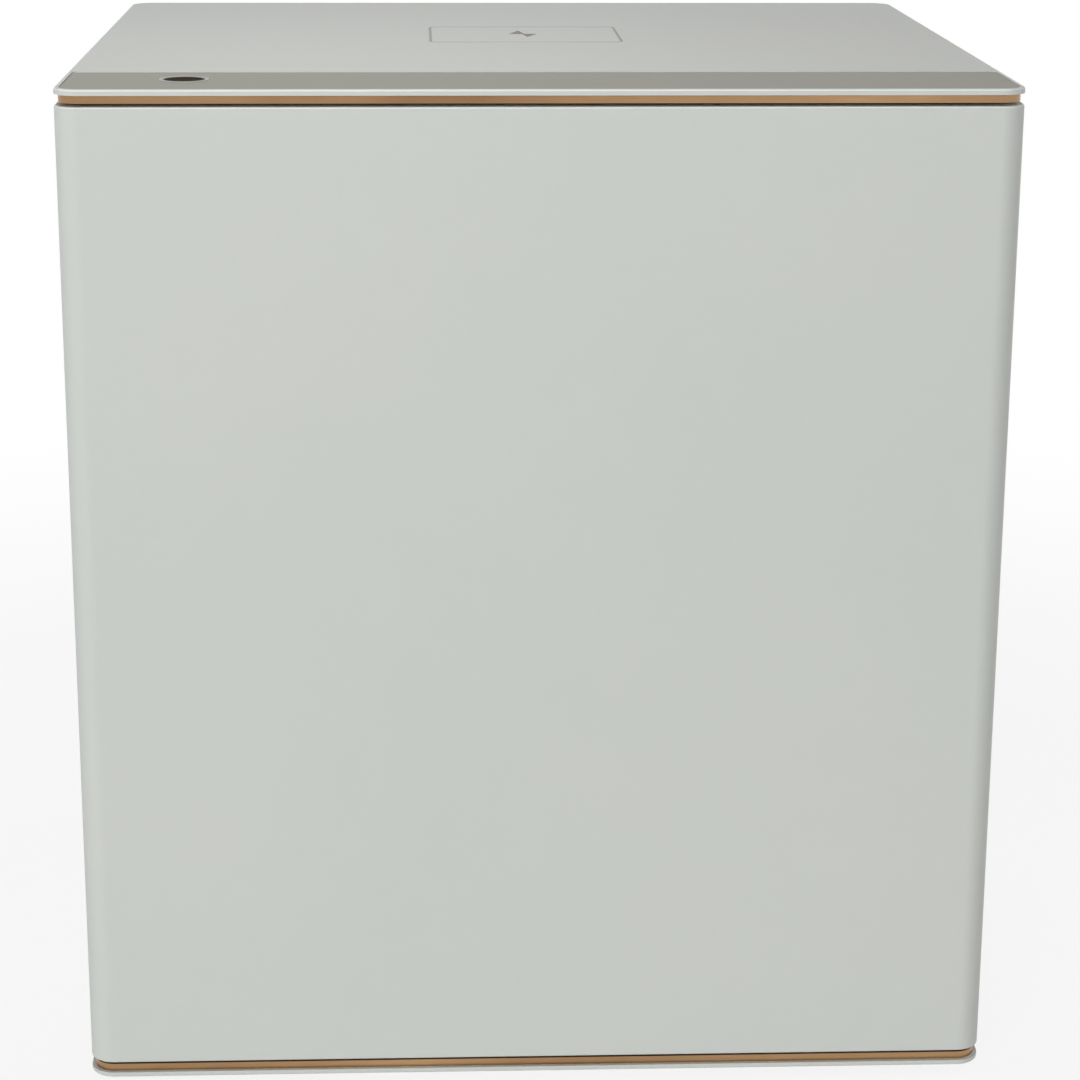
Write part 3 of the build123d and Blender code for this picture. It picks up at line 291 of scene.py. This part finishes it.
def face_outward(mesh):
    """Point every face of a closed mesh outwards."""
    bmesh.ops.remove_doubles(mesh, verts=mesh.verts, dist=same_point)
    bmesh.ops.recalc_face_normals(mesh, faces=mesh.faces)


def thicken_inward(mesh, wall):
    """Give an open shell, whose faces point outwards, a wall on its inner side."""
    bmesh.ops.recalc_face_normals(mesh, faces=mesh.faces)
    outer = list(mesh.faces)
    middle = sum((face.calc_center_median() for face in outer), Vector()) / len(outer)
    outwardness = sum(
        face.normal.dot(face.calc_center_median() - middle) * face.calc_area() for face in outer
    )
    if outwardness < 0:
        bmesh.ops.reverse_faces(mesh, faces=outer)
    bmesh.ops.solidify(mesh, geom=outer, thickness=wall)
    bmesh.ops.recalc_face_normals(mesh, faces=mesh.faces)


door_low, door_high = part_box("door_skin")
pull_low, pull_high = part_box("finger_pull_cup")
skin_wall = 0.002
notch_gap = 0.0002
panel = box_mesh(door_low, door_high)
front_corners = upright_edges(panel, lambda p: p.y < (door_low.y + door_high.y) / 2)
round_edges(panel, front_corners, corner_radius, corner_steps)
for height in (door_low.z, door_high.z):
    round_edges(panel, level_edges(panel, height, lambda p: p.y < door_high.y - touch), rim_radius, rim_steps)
back = [face for face in panel.faces if all(abs(v.co.y - door_high.y) < touch for v in face.verts)]
bmesh.ops.delete(panel, geom=back, context="FACES")
for point, normal in (
    ((0, pull_low.y - notch_gap, 0), (0, 1, 0)),
    ((0, 0, pull_low.z - notch_gap), (0, 0, 1)),
    ((0, 0, pull_high.z + notch_gap), (0, 0, 1)),
):
    side = [f for f in panel.faces if all(v.co.x < door_low.x + touch for v in f.verts)]
    side_geometry = side + list({e for f in side for e in f.edges}) + list({v for f in side for v in f.verts})
    bmesh.ops.bisect_plane(panel, geom=side_geometry, plane_co=point, plane_no=normal, dist=same_point)
notch = [
    f for f in panel.faces
    if f.calc_center_median().x < door_low.x + touch
    and f.calc_center_median().y > pull_low.y - notch_gap
    and pull_low.z - notch_gap < f.calc_center_median().z < pull_high.z + notch_gap
]
bmesh.ops.delete(panel, geom=notch, context="FACES")
thicken_inward(panel, skin_wall)
panel_piece = finish_piece(panel, "door_front_panel", "door", lacquer, ["door_skin"])
# Painted highlight along the door's rounded upper rim.
paint_rim_highlight(panel_piece, painted_rim_highlight)

# Top panel: a white slab with a narrow rim, cut away at the front for the touch strip.
# It is lacquered as the door is, and its upper edge is rounded and carries a painted highlight.
strip_low, strip_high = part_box("touch_glass")
top_low, top_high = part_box("top_panel")
strip_gap = 0.00015
rim_width = strip_low.x - strip_gap - top_low.x
recess_floor = 0.0001
recess_edge = 0.0005
smallest_top_area = 0.01
slab = box_mesh(top_low, top_high)
round_edges(slab, upright_edges(slab), corner_radius, corner_steps)
round_edges(slab, level_edges(slab, top_high.z), rim_radius, rim_steps)
top_face = [f for f in slab.faces if all(abs(v.co.z - top_high.z) < touch for v in f.verts)]
bmesh.ops.inset_region(slab, faces=top_face, thickness=rim_width - rim_radius, use_even_offset=True)
inner = [f for f in slab.faces if all(abs(v.co.z - top_high.z) < touch for v in f.verts)]
inner = [max(inner, key=lambda f: f.calc_area())]
cut_geometry = inner + list(inner[0].edges) + list(inner[0].verts)
recess_back = strip_high.y + strip_gap
bmesh.ops.bisect_plane(
    slab, geom=cut_geometry, plane_co=(0, recess_back, 0), plane_no=(0, 1, 0), dist=same_point
)
front_face = [
    f for f in slab.faces
    if all(abs(v.co.z - top_high.z) < touch for v in f.verts)
    and f.calc_area() > smallest_top_area
    and f.calc_center_median().y < strip_high.y
]
pushed = bmesh.ops.extrude_face_region(slab, geom=front_face)
bmesh.ops.delete(slab, geom=front_face, context="FACES_ONLY")
floor_verts = [g for g in pushed["geom"] if isinstance(g, bmesh.types.BMVert)]
bmesh.ops.translate(slab, vec=(0, 0, top_low.z + recess_floor - top_high.z), verts=floor_verts)
face_outward(slab)
back_edge = level_edges(slab, top_high.z, lambda p: abs(p.y - recess_back) < touch)
round_edges(slab, back_edge, recess_edge, 2)
slab_piece = finish_piece(slab, "top_slab", "cabinet", lacquer, ["top_panel"])
# Painted highlight along the slab's rounded upper edges.
paint_rim_highlight(slab_piece, painted_rim_highlight)


# Touch strip: etched glass, painted warm grey on its back, with a ground edge.
# It lies in the top panel a hair below the white rim, with a hole for the fingerprint reader.
def grey_glass():
    """Warm grey back-painted glass with a fine etched face."""
    glass = Finish("grey_glass", Specular_IOR_Level=0.03)
    haze = glass.noise(glass.place(), 9.0, 4.0)
    smear = glass.noise(glass.place((1.0, 4.0, 1.0)), 60.0, 3.0)
    glass.feed("Base Color", glass.blend(haze, srgb(156, 154, 141), srgb(148, 147, 135)))
    glass.feed("Roughness", 0.30 + smear * 0.08)
    return glass.material


def cut_away(piece, cutter):
    """Cut a closed bmesh out of a piece and leave the result in the piece's own mesh."""
    data = bpy.data.meshes.new("cutter")
    cutter.to_mesh(data)
    cutter.free()
    tool = bpy.data.objects.new("cutter", data)
    bpy.context.scene.collection.objects.link(tool)
    piece.modifiers.clear()
    cut = piece.modifiers.new("cut", "BOOLEAN")
    cut.object = tool
    cut.operation = "DIFFERENCE"
    cut.solver = "EXACT"
    bpy.context.view_layer.update()
    shaped = bpy.data.meshes.new_from_object(piece.evaluated_get(bpy.context.evaluated_depsgraph_get()))
    piece.data = shaped
    bpy.data.objects.remove(tool)
    shade_evenly(piece)


def drum(centre, radius, low, high, steps=96, along="Z"):
    """A closed round bar as a bmesh, along one of the axes."""
    mesh = bmesh.new()
    bmesh.ops.create_cone(
        mesh, cap_ends=True, cap_tris=False, segments=steps, radius1=radius, radius2=radius, depth=high - low
    )
    if along == "Y":
        quarter_turn = Matrix.Rotation(math.radians(90), 3, "X")
        bmesh.ops.rotate(mesh, cent=(0, 0, 0), matrix=quarter_turn, verts=mesh.verts)
        bmesh.ops.translate(mesh, vec=(centre[0], (low + high) / 2, centre[1]), verts=mesh.verts)
    else:
        bmesh.ops.translate(mesh, vec=(centre[0], centre[1], (low + high) / 2), verts=mesh.verts)
    return mesh


glass = grey_glass()
ring_low, ring_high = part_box("fingerprint_ring")
reader_centre = (ring_low + ring_high) / 2
ring_radius = (ring_high.x - ring_low.x) / 2
glass_edge = 0.0003
strip_corner = corner_radius - rim_width - strip_gap
cutter_reach = 0.01
strip = box_mesh(strip_low, strip_high)
front_corners = upright_edges(strip, lambda p: p.y < (strip_low.y + strip_high.y) / 2)
round_edges(strip, front_corners, strip_corner, corner_steps)
round_edges(strip, level_edges(strip, strip_high.z), glass_edge, 3)
strip_piece = finish_piece(strip, "touch_strip", "cabinet", glass, ["touch_glass"])
reader_hole = drum(
    reader_centre, ring_radius + strip_gap, strip_low.z - cutter_reach, strip_high.z + cutter_reach
)
cut_away(strip_piece, reader_hole)


# Fingerprint reader: a dark sensor disc, dished for the fingertip, in a pale ring that lets light through.
# Both are turned parts that stand in a hole of the touch strip.
def dark_sensor():
    """Near-black hard coat with the faint grid of the sensor under it."""
    coat = Finish("sensor_coat", Roughness=0.55, Specular_IOR_Level=0.01)
    grain = coat.noise(coat.place(), 1500.0, 2.0)
    coat.feed("Base Color", coat.blend(grain, srgb(50, 38, 28), srgb(40, 31, 24)))
    coat.bump(grain, 0.08, 0.0001)
    return coat.material


def pale_ring():
    """Pale frosted plastic of the light ring."""
    ring = Finish("ring_plastic", Subsurface_Weight=0.15, Subsurface_Scale=0.002)
    grain = ring.noise(ring.place(), 1200.0, 2.0)
    ring.feed("Base Color", ring.blend(grain, srgb(166, 169, 165), srgb(158, 162, 159)))
    ring.feed("Roughness", 0.30 + grain * 0.10)
    return ring.material


def turned(profile, centre, steps=96):
    """A turned part: a profile of radius and height points, spun round an upright axis."""
    mesh = bmesh.new()
    verts = [mesh.verts.new((centre[0] + radius, centre[1], height)) for radius, height in profile]
    edges = [mesh.edges.new(pair) for pair in zip(verts, verts[1:] + verts[:1])]
    bmesh.ops.spin(
        mesh, geom=verts + edges, cent=(centre[0], centre[1], 0), axis=(0, 0, 1), angle=2 * math.pi,
        steps=steps, use_merge=True,
    )
    bmesh.ops.remove_doubles(mesh, verts=mesh.verts, dist=same_point)
    bmesh.ops.dissolve_degenerate(mesh, edges=mesh.edges, dist=same_point)
    bmesh.ops.recalc_face_normals(mesh, faces=mesh.faces)
    return mesh


sensor_low, sensor_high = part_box("fingerprint_sensor")
sensor_radius = (sensor_high.x - sensor_low.x) / 2
dish = 0.0006
ring_round = 0.0003
ring_inner = sensor_radius + strip_gap
ring_mesh = turned(
    [
        (ring_inner, ring_low.z), (ring_radius, ring_low.z), (ring_radius, ring_high.z - ring_round),
        (ring_radius - ring_round, ring_high.z), (ring_inner + ring_round, ring_high.z),
        (ring_inner, ring_high.z - ring_round),
    ],
    reader_centre,
)
ring_crease = 50.0
finish_piece(
    ring_mesh, "reader_light_ring", "cabinet", pale_ring(), ["fingerprint_ring"], ring_crease
)
dish_steps = 8
dish_shares = [1 - step / dish_steps for step in range(1, dish_steps)]
dish_points = [(sensor_radius * share, sensor_high.z - dish * (1 - share ** 2)) for share in dish_shares]
sensor_mesh = turned(
    [(0, sensor_low.z), (sensor_radius, sensor_low.z), (sensor_radius, sensor_high.z - ring_round),
     (sensor_radius - ring_round, sensor_high.z), *dish_points, (0, sensor_high.z - dish)],
    reader_centre,
)
finish_piece(
    sensor_mesh, "fingerprint_reader", "cabinet", dark_sensor(), ["fingerprint_sensor"]
)


# Copper bands: rolled strip, brushed along its length and lacquered, with a rounded upper edge.
# One runs round the cabinet under the top panel, the other above the base plate.
def brushed_copper():
    """Rose copper with fine level brush lines, and large patches of tone that are partly a painted
    reflection.
    """
    copper = Finish("brushed_copper", Metallic=1.0, Coat_Weight=0.2, Coat_Roughness=0.2)
    lines = copper.noise(copper.place((1.0, 1.0, 40.0)), 60.0, 6.0)
    # Large patches vary the copper's tone at random and also stand in for uneven reflections: partly a
    # painted reflection.
    tone_and_reflection_patches = copper.noise(copper.place((1.0, 1.0, 4.0)), 9.0, 6.0)
    tone = copper.blend(tone_and_reflection_patches * 1.6 - 0.3, srgb(206, 168, 124), srgb(148, 112, 78))
    copper.feed("Base Color", copper.blend(lines * 0.6, tone, srgb(138, 102, 70)))
    copper.feed("Roughness", 0.24 + lines * 0.20)
    copper.bump(lines, 0.14, 0.0001)
    return copper.material


copper = brushed_copper()
band_wall = 0.002
bright_edge = 0.0005
for node, name in (("upper_trim", "upper_copper_band"), ("lower_trim", "lower_copper_band")):
    low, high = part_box(node)
    setback = low.x - cad_low.x
    band = box_mesh(low, high)
    round_edges(band, upright_edges(band), corner_radius - setback, corner_steps)
    caps = [f for f in band.faces if abs(f.normal.z) > level]
    bmesh.ops.delete(band, geom=caps, context="FACES")
    thicken_inward(band, band_wall)
    rim = []
    for edge in level_edges(band, high.z):
        walls = [f for f in edge.link_faces if abs(f.normal.z) < level]
        if len(walls) == 1 and walls[0].normal.dot(walls[0].calc_center_median()) > 0:
            rim.append(edge)
    round_edges(band, rim, bright_edge, 2)
    finish_piece(band, name, "cabinet", copper, [node])

# Base plate: a white slab like the top panel, drilled for four floor anchors.
# Its lower edge is rounded, and it stands on four feet.
base_low, base_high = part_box("base_plate")
anchor_radius = 0.006
anchor_x, anchor_y = 0.300, 0.220
anchor_hole_steps = 48
base = box_mesh(base_low, base_high)
round_edges(base, upright_edges(base), corner_radius, corner_steps)
round_edges(base, level_edges(base, base_low.z), rim_radius, rim_steps)
base_piece = finish_piece(base, "base_slab", "cabinet", lacquer, ["base_plate"])
for side_x in (-1, 1):
    for side_y in (-1, 1):
        centre = (side_x * anchor_x / 2, side_y * anchor_y / 2)
        hole = drum(
            centre, anchor_radius, base_low.z - cutter_reach, base_high.z + cutter_reach, anchor_hole_steps
        )
        cut_away(base_piece, hole)


# Feet: moulded rubber pucks with a chamfered edge and a ring groove in the sole.
# They are pressed on the underside of the base plate.
def black_rubber():
    """Matt black rubber with a fine moulded grain."""
    rubber = Finish("black_rubber", Specular_IOR_Level=0.3)
    grain = rubber.noise(rubber.place(), 1400.0, 3.0)
    rubber.feed("Base Color", rubber.blend(grain, srgb(34, 34, 35), srgb(48, 47, 46)))
    rubber.feed("Roughness", 0.72 + grain * 0.15)
    rubber.bump(grain, 0.25, 0.0002)
    return rubber.material


rubber = black_rubber()
feet_low, feet_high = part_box("feet")
foot_radius = 0.018
groove_inner, groove_width, groove_depth = 0.0081, 0.0025, 0.0008
groove_outer = groove_inner + groove_width
foot_chamfer = 0.0012
foot_profile = [
    (0, feet_low.z), (groove_inner, feet_low.z), (groove_inner, feet_low.z + groove_depth),
    (groove_outer, feet_low.z + groove_depth), (groove_outer, feet_low.z),
    (foot_radius - foot_chamfer, feet_low.z), (foot_radius, feet_low.z + foot_chamfer),
    (foot_radius, feet_high.z), (0, feet_high.z),
]
foot_steps = 64
feet_mesh = bmesh.new()
for side_x in (-1, 1):
    for side_y in (-1, 1):
        centre_x = side_x * (feet_high.x - foot_radius)
        centre_y = side_y * (feet_high.y - foot_radius)
        one = turned(foot_profile, (centre_x, centre_y), foot_steps)
        holder = bpy.data.meshes.new("one_foot")
        one.to_mesh(holder)
        one.free()
        feet_mesh.from_mesh(holder)
        bpy.data.meshes.remove(holder)
finish_piece(feet_mesh, "rubber_feet", "cabinet", rubber, ["feet"])

# Outer casing: one folded steel sheet for the two sides and the back, lacquered as the door is.
# The back has a window for the sockets and two holes for the wall anchors.
case_low, case_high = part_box("outer_casing")
plate_low, plate_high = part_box("rear_socket_plate")
casing_wall, casing_flange = 0.0015, 0.015
socket_lip = 0.0028
wall_anchor_radius, wall_anchor_spacing, wall_anchor_height = 0.005, 0.280, 0.380
casing = box_mesh(case_low, case_high)
round_edges(casing, upright_edges(casing, lambda p: p.y > 0), corner_radius, corner_steps)
front = [f for f in casing.faces if all(abs(v.co.y - case_low.y) < touch for v in f.verts)]
bmesh.ops.delete(casing, geom=front, context="FACES")
caps = [f for f in casing.faces if abs(f.normal.z) > level]
for cap in caps:
    bmesh.ops.inset_region(
        casing, faces=[cap], thickness=casing_flange, use_even_offset=True, use_boundary=True
    )
    bmesh.ops.delete(casing, geom=[cap], context="FACES")
thicken_inward(casing, casing_wall)
casing_piece = finish_piece(casing, "wrapped_casing", "cabinet", lacquer, ["outer_casing"])
hole_front, hole_back = case_high.y - cutter_reach, case_high.y + cutter_reach
socket_window = box_mesh(
    (plate_low.x + socket_lip, hole_front, plate_low.z + socket_lip),
    (plate_high.x - socket_lip, hole_back, plate_high.z - socket_lip),
)
cut_away(casing_piece, socket_window)
for side in (-1, 1):
    centre = (side * wall_anchor_spacing / 2, wall_anchor_height)
    cut_away(casing_piece, drum(centre, wall_anchor_radius, hole_front, hole_back, anchor_hole_steps, "Y"))


# Charging mark: a printed outline and a plain lightning sign on the top panel, over the coil.
# They are a thin grey ink that lies on the lacquer.
def screen_ink(name, light, dark):
    """Screen-printed ink, a little rough."""
    ink = Finish(name, Specular_IOR_Level=0.35)
    grain = ink.noise(ink.place(), 1800.0, 2.0)
    ink.feed("Base Color", ink.blend(grain, light, dark))
    ink.feed("Roughness", 0.45 + grain * 0.1)
    return ink.material


line_ink = screen_ink("line_ink", srgb(160, 159, 152), srgb(150, 149, 143))
sign_ink = screen_ink("sign_ink", srgb(124, 115, 102), srgb(112, 104, 92))
ink_height = 0.00004
outline_x, outline_y = 0.102, 0.076
outline_line, outline_corner, outline_steps = 0.0014, 0.004, 8
coil_low, coil_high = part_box("charging_coil")
mark_x, mark_y = (coil_low.x + coil_high.x) / 2, (coil_low.y + coil_high.y) / 2
outline = box_mesh(
    (mark_x - outline_x / 2, mark_y - outline_y / 2, top_high.z),
    (mark_x + outline_x / 2, mark_y + outline_y / 2, top_high.z + ink_height),
)
round_edges(outline, upright_edges(outline), outline_corner, outline_steps)
bmesh.ops.delete(outline, geom=[f for f in outline.faces if abs(f.normal.z) > level], context="FACES")
thicken_inward(outline, outline_line)
finish_piece(outline, "charging_outline", "cabinet", line_ink)

sign = bmesh.new()
sign_points = [
    (-0.0025, 0.0185), (-0.0080, 0.0010), (-0.0012, 0.0010),
    (0.0015, -0.0130), (0.0070, 0.0020), (0.0002, 0.0020),
]
corners = [sign.verts.new((mark_x + x, mark_y + y, top_high.z)) for x, y in sign_points]
sign_face = sign.faces.new(corners)
raised = bmesh.ops.extrude_face_region(sign, geom=[sign_face])
raised_verts = [g for g in raised["geom"] if isinstance(g, bmesh.types.BMVert)]
bmesh.ops.translate(sign, vec=(0, 0, ink_height), verts=raised_verts)
face_outward(sign)
finish_piece(sign, "charging_sign", "cabinet", sign_ink)


# Inner pieces: the steel, plastic, felt and board parts behind the door and under the top.
# They keep their CAD shapes, as merged copies with the small edge that folding, turning and moulding leave.
def merged_copy(node):
    """A merged copy of a CAD node's triangles, with its flat faces joined up."""
    mesh = bmesh.new()
    mesh.from_mesh(frame["nodes"][node].data)
    bmesh.ops.remove_doubles(mesh, verts=mesh.verts, dist=1e-6)
    flat = math.radians(0.2)
    bmesh.ops.dissolve_limit(
        mesh, angle_limit=flat, use_dissolve_boundaries=False, verts=mesh.verts, edges=mesh.edges
    )
    return mesh


def powder_coat(name, light, dark):
    """Powder coat on steel, with its pebbled grain and flecks where the grains stand proud."""
    coat = Finish(name, Specular_IOR_Level=0.4)
    grain = coat.noise(coat.place(), 520.0, 3.0)
    drift = coat.noise(coat.place(), 12.0, 2.0)
    coat.feed("Base Color", coat.blend(drift * 0.6 + grain * 0.4, light, dark))
    coat.feed("Roughness", 0.42 + grain * 0.20)
    coat.bump(grain, 0.35, 0.0004)
    return coat.material


def plated_steel(name, light, dark, rough, stretch):
    """Plated or turned steel, with tool marks along one axis."""
    steel = Finish(name, Metallic=1.0)
    marks = steel.noise(steel.place(stretch), 60.0, 4.0)
    drift = steel.noise(steel.place(), 40.0, 3.0)
    steel.feed("Base Color", steel.blend(drift, light, dark))
    steel.feed("Roughness", rough + marks * 0.15)
    steel.bump(marks, 0.08, 0.0001)
    return steel.material


def moulded_plastic(name, light, dark, rough, grain_scale):
    """Moulded plastic with a spark-eroded grain."""
    plastic = Finish(name, Specular_IOR_Level=0.4)
    grain = plastic.noise(plastic.place(), grain_scale, 3.0)
    plastic.feed("Base Color", plastic.blend(grain, light, dark))
    plastic.feed("Roughness", rough + grain * 0.12)
    plastic.bump(grain, 0.18, 0.0002)
    return plastic.material


def grey_felt():
    """Charcoal needle felt, with loose fibres that catch the light."""
    felt = Finish("charcoal_felt", Sheen_Weight=0.5, Sheen_Roughness=0.5, Specular_IOR_Level=0.2)
    fibre = felt.noise(felt.place((1.0, 3.0, 1.0)), 900.0, 5.0)
    cross = felt.noise(felt.place((3.0, 1.0, 1.0)), 900.0, 5.0)
    felt.feed("Base Color", felt.blend(fibre * cross * 1.6, srgb(60, 61, 65), srgb(112, 113, 117)))
    felt.feed("Roughness", 0.92 + fibre * 0.06)
    felt.bump(fibre * 0.5 + cross * 0.5, 0.6, 0.0006)
    return felt.material


def circuit_board():
    """Green solder mask with paler tracks."""
    board = Finish("circuit_board", Coat_Weight=0.4, Coat_Roughness=0.2)
    tracks = board.noise(board.place(), 260.0, 1.0)
    lines = tracks.apply("GREATER_THAN", tracks, 0.56)
    board.feed("Base Color", board.blend(lines, srgb(22, 84, 52), srgb(44, 122, 76)))
    board.feed("Roughness", 0.35 + tracks * 0.15)
    return board.material


def opal_diffuser():
    """Opal plastic over the light strip, lit from inside."""
    opal = Finish("opal_diffuser", Emission_Strength=5.0, Subsurface_Weight=0.3, Subsurface_Scale=0.004)
    spots = opal.noise(opal.place(), 90.0, 2.0)
    opal.feed("Base Color", opal.blend(spots, srgb(240, 238, 230), srgb(232, 230, 222)))
    opal.feed("Emission Color", opal.blend(spots, srgb(255, 246, 226), srgb(246, 238, 220)))
    opal.feed("Roughness", 0.35 + spots * 0.1)
    return opal.material


finishes = {
    "dark_paint": powder_coat("charcoal_powder_coat", srgb(72, 73, 76), srgb(60, 61, 64)),
    "zinc_steel": plated_steel("zinc_plate", srgb(186, 188, 186), srgb(170, 172, 168), 0.32, (1, 1, 8)),
    "bright_steel": plated_steel("turned_steel", srgb(206, 208, 210), srgb(192, 194, 196), 0.18, (12, 1, 1)),
    "bronze": plated_steel("bronze", srgb(196, 150, 92), srgb(178, 132, 78), 0.28, (1, 1, 12)),
    "black_plastic": moulded_plastic("black_moulding", srgb(36, 36, 38), srgb(44, 44, 46), 0.50, 1300.0),
    "pale_plastic": moulded_plastic("pale_moulding", srgb(214, 215, 212), srgb(206, 207, 204), 0.40, 1300.0),
    "opal_lens": opal_diffuser(),
    "circuit_board": circuit_board(),
    "black_rubber": rubber,
    "grey_felt": grey_felt(),
    "cell_wrap": moulded_plastic("cell_sleeve", srgb(40, 44, 52), srgb(48, 52, 60), 0.22, 500.0),
}
finish_by_node = {
    "inner_cover": moulded_plastic("graphite_moulding", srgb(90, 92, 96), srgb(80, 82, 86), 0.48, 800.0),
    "boltwork_housing": powder_coat("housing_powder_coat", srgb(84, 86, 90), srgb(74, 76, 80)),
    "reset_button": moulded_plastic("red_moulding", srgb(168, 42, 36), srgb(152, 36, 32), 0.36, 900.0),
}
small_edge, sheet_edge, moulded_edge = 0.00025, 0.0004, 0.0005
edge_by_slot = {
    "dark_paint": sheet_edge,
    "zinc_steel": sheet_edge,
    "bright_steel": small_edge,
    "black_plastic": moulded_edge,
    "pale_plastic": small_edge,
    "black_rubber": small_edge,
    "grey_felt": small_edge,
}
shown_already = {
    "door_skin", "top_panel", "touch_glass", "fingerprint_ring", "fingerprint_sensor",
    "upper_trim", "lower_trim", "base_plate", "feet", "outer_casing",
}
inner_crease = 32.0
slot_of = {part["node"]: part["material_slot"] for part in frame["record"]["subparts"]}
for body, nodes in frame["record"]["behaviour"]["bodies"].items():
    for node in nodes:
        if node not in shown_already:
            slot = slot_of[node]
            edge = edge_by_slot.get(slot, 0.0)
            finish = finish_by_node.get(node, finishes[slot])
            finish_piece(
                merged_copy(node), node + "_finished", body, finish, [node], inner_crease, edge
            )


# Studio: a pale paper floor, an even sky and soft lamps at the front left, above, at the right and behind.
# The sky and the far floor show white to the camera and in polished surfaces.
def seen_directly(nodes):
    """One for a ray from the camera, or by way of polished metal or glass, and zero for the rest."""
    camera_ray, glossy_ray, clear_ray = (
        nodes.node("ShaderNodeLightPath", {}, {}, f"Is {kind} Ray")
        for kind in ("Camera", "Glossy", "Transmission")
    )
    seen = camera_ray + glossy_ray + clear_ray
    return seen.apply("MINIMUM", seen, 1.0)


near_glow, shadow_reach, white_reach = 0.86, 0.45, 1.30


def pale_floor():
    """White paper floor that keeps the object's shadow and turns pure white further out."""
    paper = Finish("pale_floor", Specular_IOR_Level=0.2)
    drift = paper.noise(paper.place(), 2.0, 2.0)
    paper.feed("Base Color", paper.blend(drift, srgb(238, 238, 237), srgb(234, 234, 233)))
    paper.feed("Roughness", 0.80 + drift * 0.05)
    distance = paper.node("ShaderNodeVectorMath", {"operation": "LENGTH"}, {0: paper.place()}, "Value")
    outward = paper.node(
        "ShaderNodeMapRange", {"interpolation_type": "SMOOTHSTEP"},
        {
            "Value": distance, "From Min": shadow_reach, "From Max": white_reach,
            "To Min": near_glow, "To Max": 1.0,
        },
    )
    glow = paper.node("ShaderNodeEmission", {}, {"Color": (1.0, 1.0, 1.0, 1.0), "Strength": 1.0})
    paper_light = Value(paper.tree, paper.shader.outputs[0])
    whiteness = seen_directly(paper) * outward
    mixed = paper.node("ShaderNodeMixShader", {}, {0: whiteness, 1: paper_light, 2: glow})
    join(paper.tree, mixed, paper.tree.nodes["Material Output"].inputs["Surface"])
    return paper.material


floor_reach = 30.0
floor = bmesh.new()
bmesh.ops.create_grid(floor, x_segments=1, y_segments=1, size=floor_reach)
floor_data = bpy.data.meshes.new("floor")
floor.to_mesh(floor_data)
floor.free()
floor_data.materials.append(pale_floor())
floor_object = bpy.data.objects.new("floor", floor_data)
bpy.context.scene.collection.objects.link(floor_object)


def soft_lamp(name, place, aim, width, height, power, colour, lights, mirrored):
    """A wide area lamp that faces a point: it lights the surfaces, shows in polished ones, or both."""
    data = bpy.data.lights.new(name, "AREA")
    data.shape = "RECTANGLE"
    data.size = width
    data.size_y = height
    data.energy = power
    data.color = colour
    lamp = bpy.data.objects.new(name, data)
    lamp.visible_camera = False
    lamp.visible_diffuse = lights
    lamp.visible_glossy = mirrored
    lamp.location = place
    lamp.rotation_mode = "QUATERNION"
    lamp.rotation_quaternion = (Vector(aim) - Vector(place)).to_track_quat("-Z", "Y")
    bpy.context.scene.collection.objects.link(lamp)


middle = (0.0, 0.0, 0.25)
soft_lamp("key_lamp", (-2.0, -4.6, 1.0), middle, 2.5, 2.5, 156.0, (0.98, 1.0, 0.99), True, False)
soft_lamp("top_lamp", (-0.12, -0.18, 0.95), middle, 0.4, 0.4, 0.80, (1.0, 0.99, 0.97), True, False)
soft_lamp("edge_lamp", (0.1, -1.2, 2.4), middle, 1.6, 0.7, 60.0, (1.0, 0.99, 0.97), False, True)
soft_lamp("side_lamp", (3.6, 2.0, 1.0), middle, 2.0, 2.0, 52.0, (1.0, 0.98, 0.95), True, False)
soft_lamp("back_lamp", (-0.8, 3.8, 0.9), middle, 2.0, 2.0, 54.0, (1.0, 1.0, 1.0), True, False)

world = bpy.data.worlds.new("studio")
world.use_nodes = True
bpy.context.scene.world = world
sky = Nodes(world.node_tree)
background = sky.tree.nodes["Background"]
background.inputs["Color"].default_value = (1.0, 1.0, 1.0, 1.0)
sky_light = 0.24
join(sky.tree, sky_light + seen_directly(sky) * (1.0 - sky_light), background.inputs["Strength"])
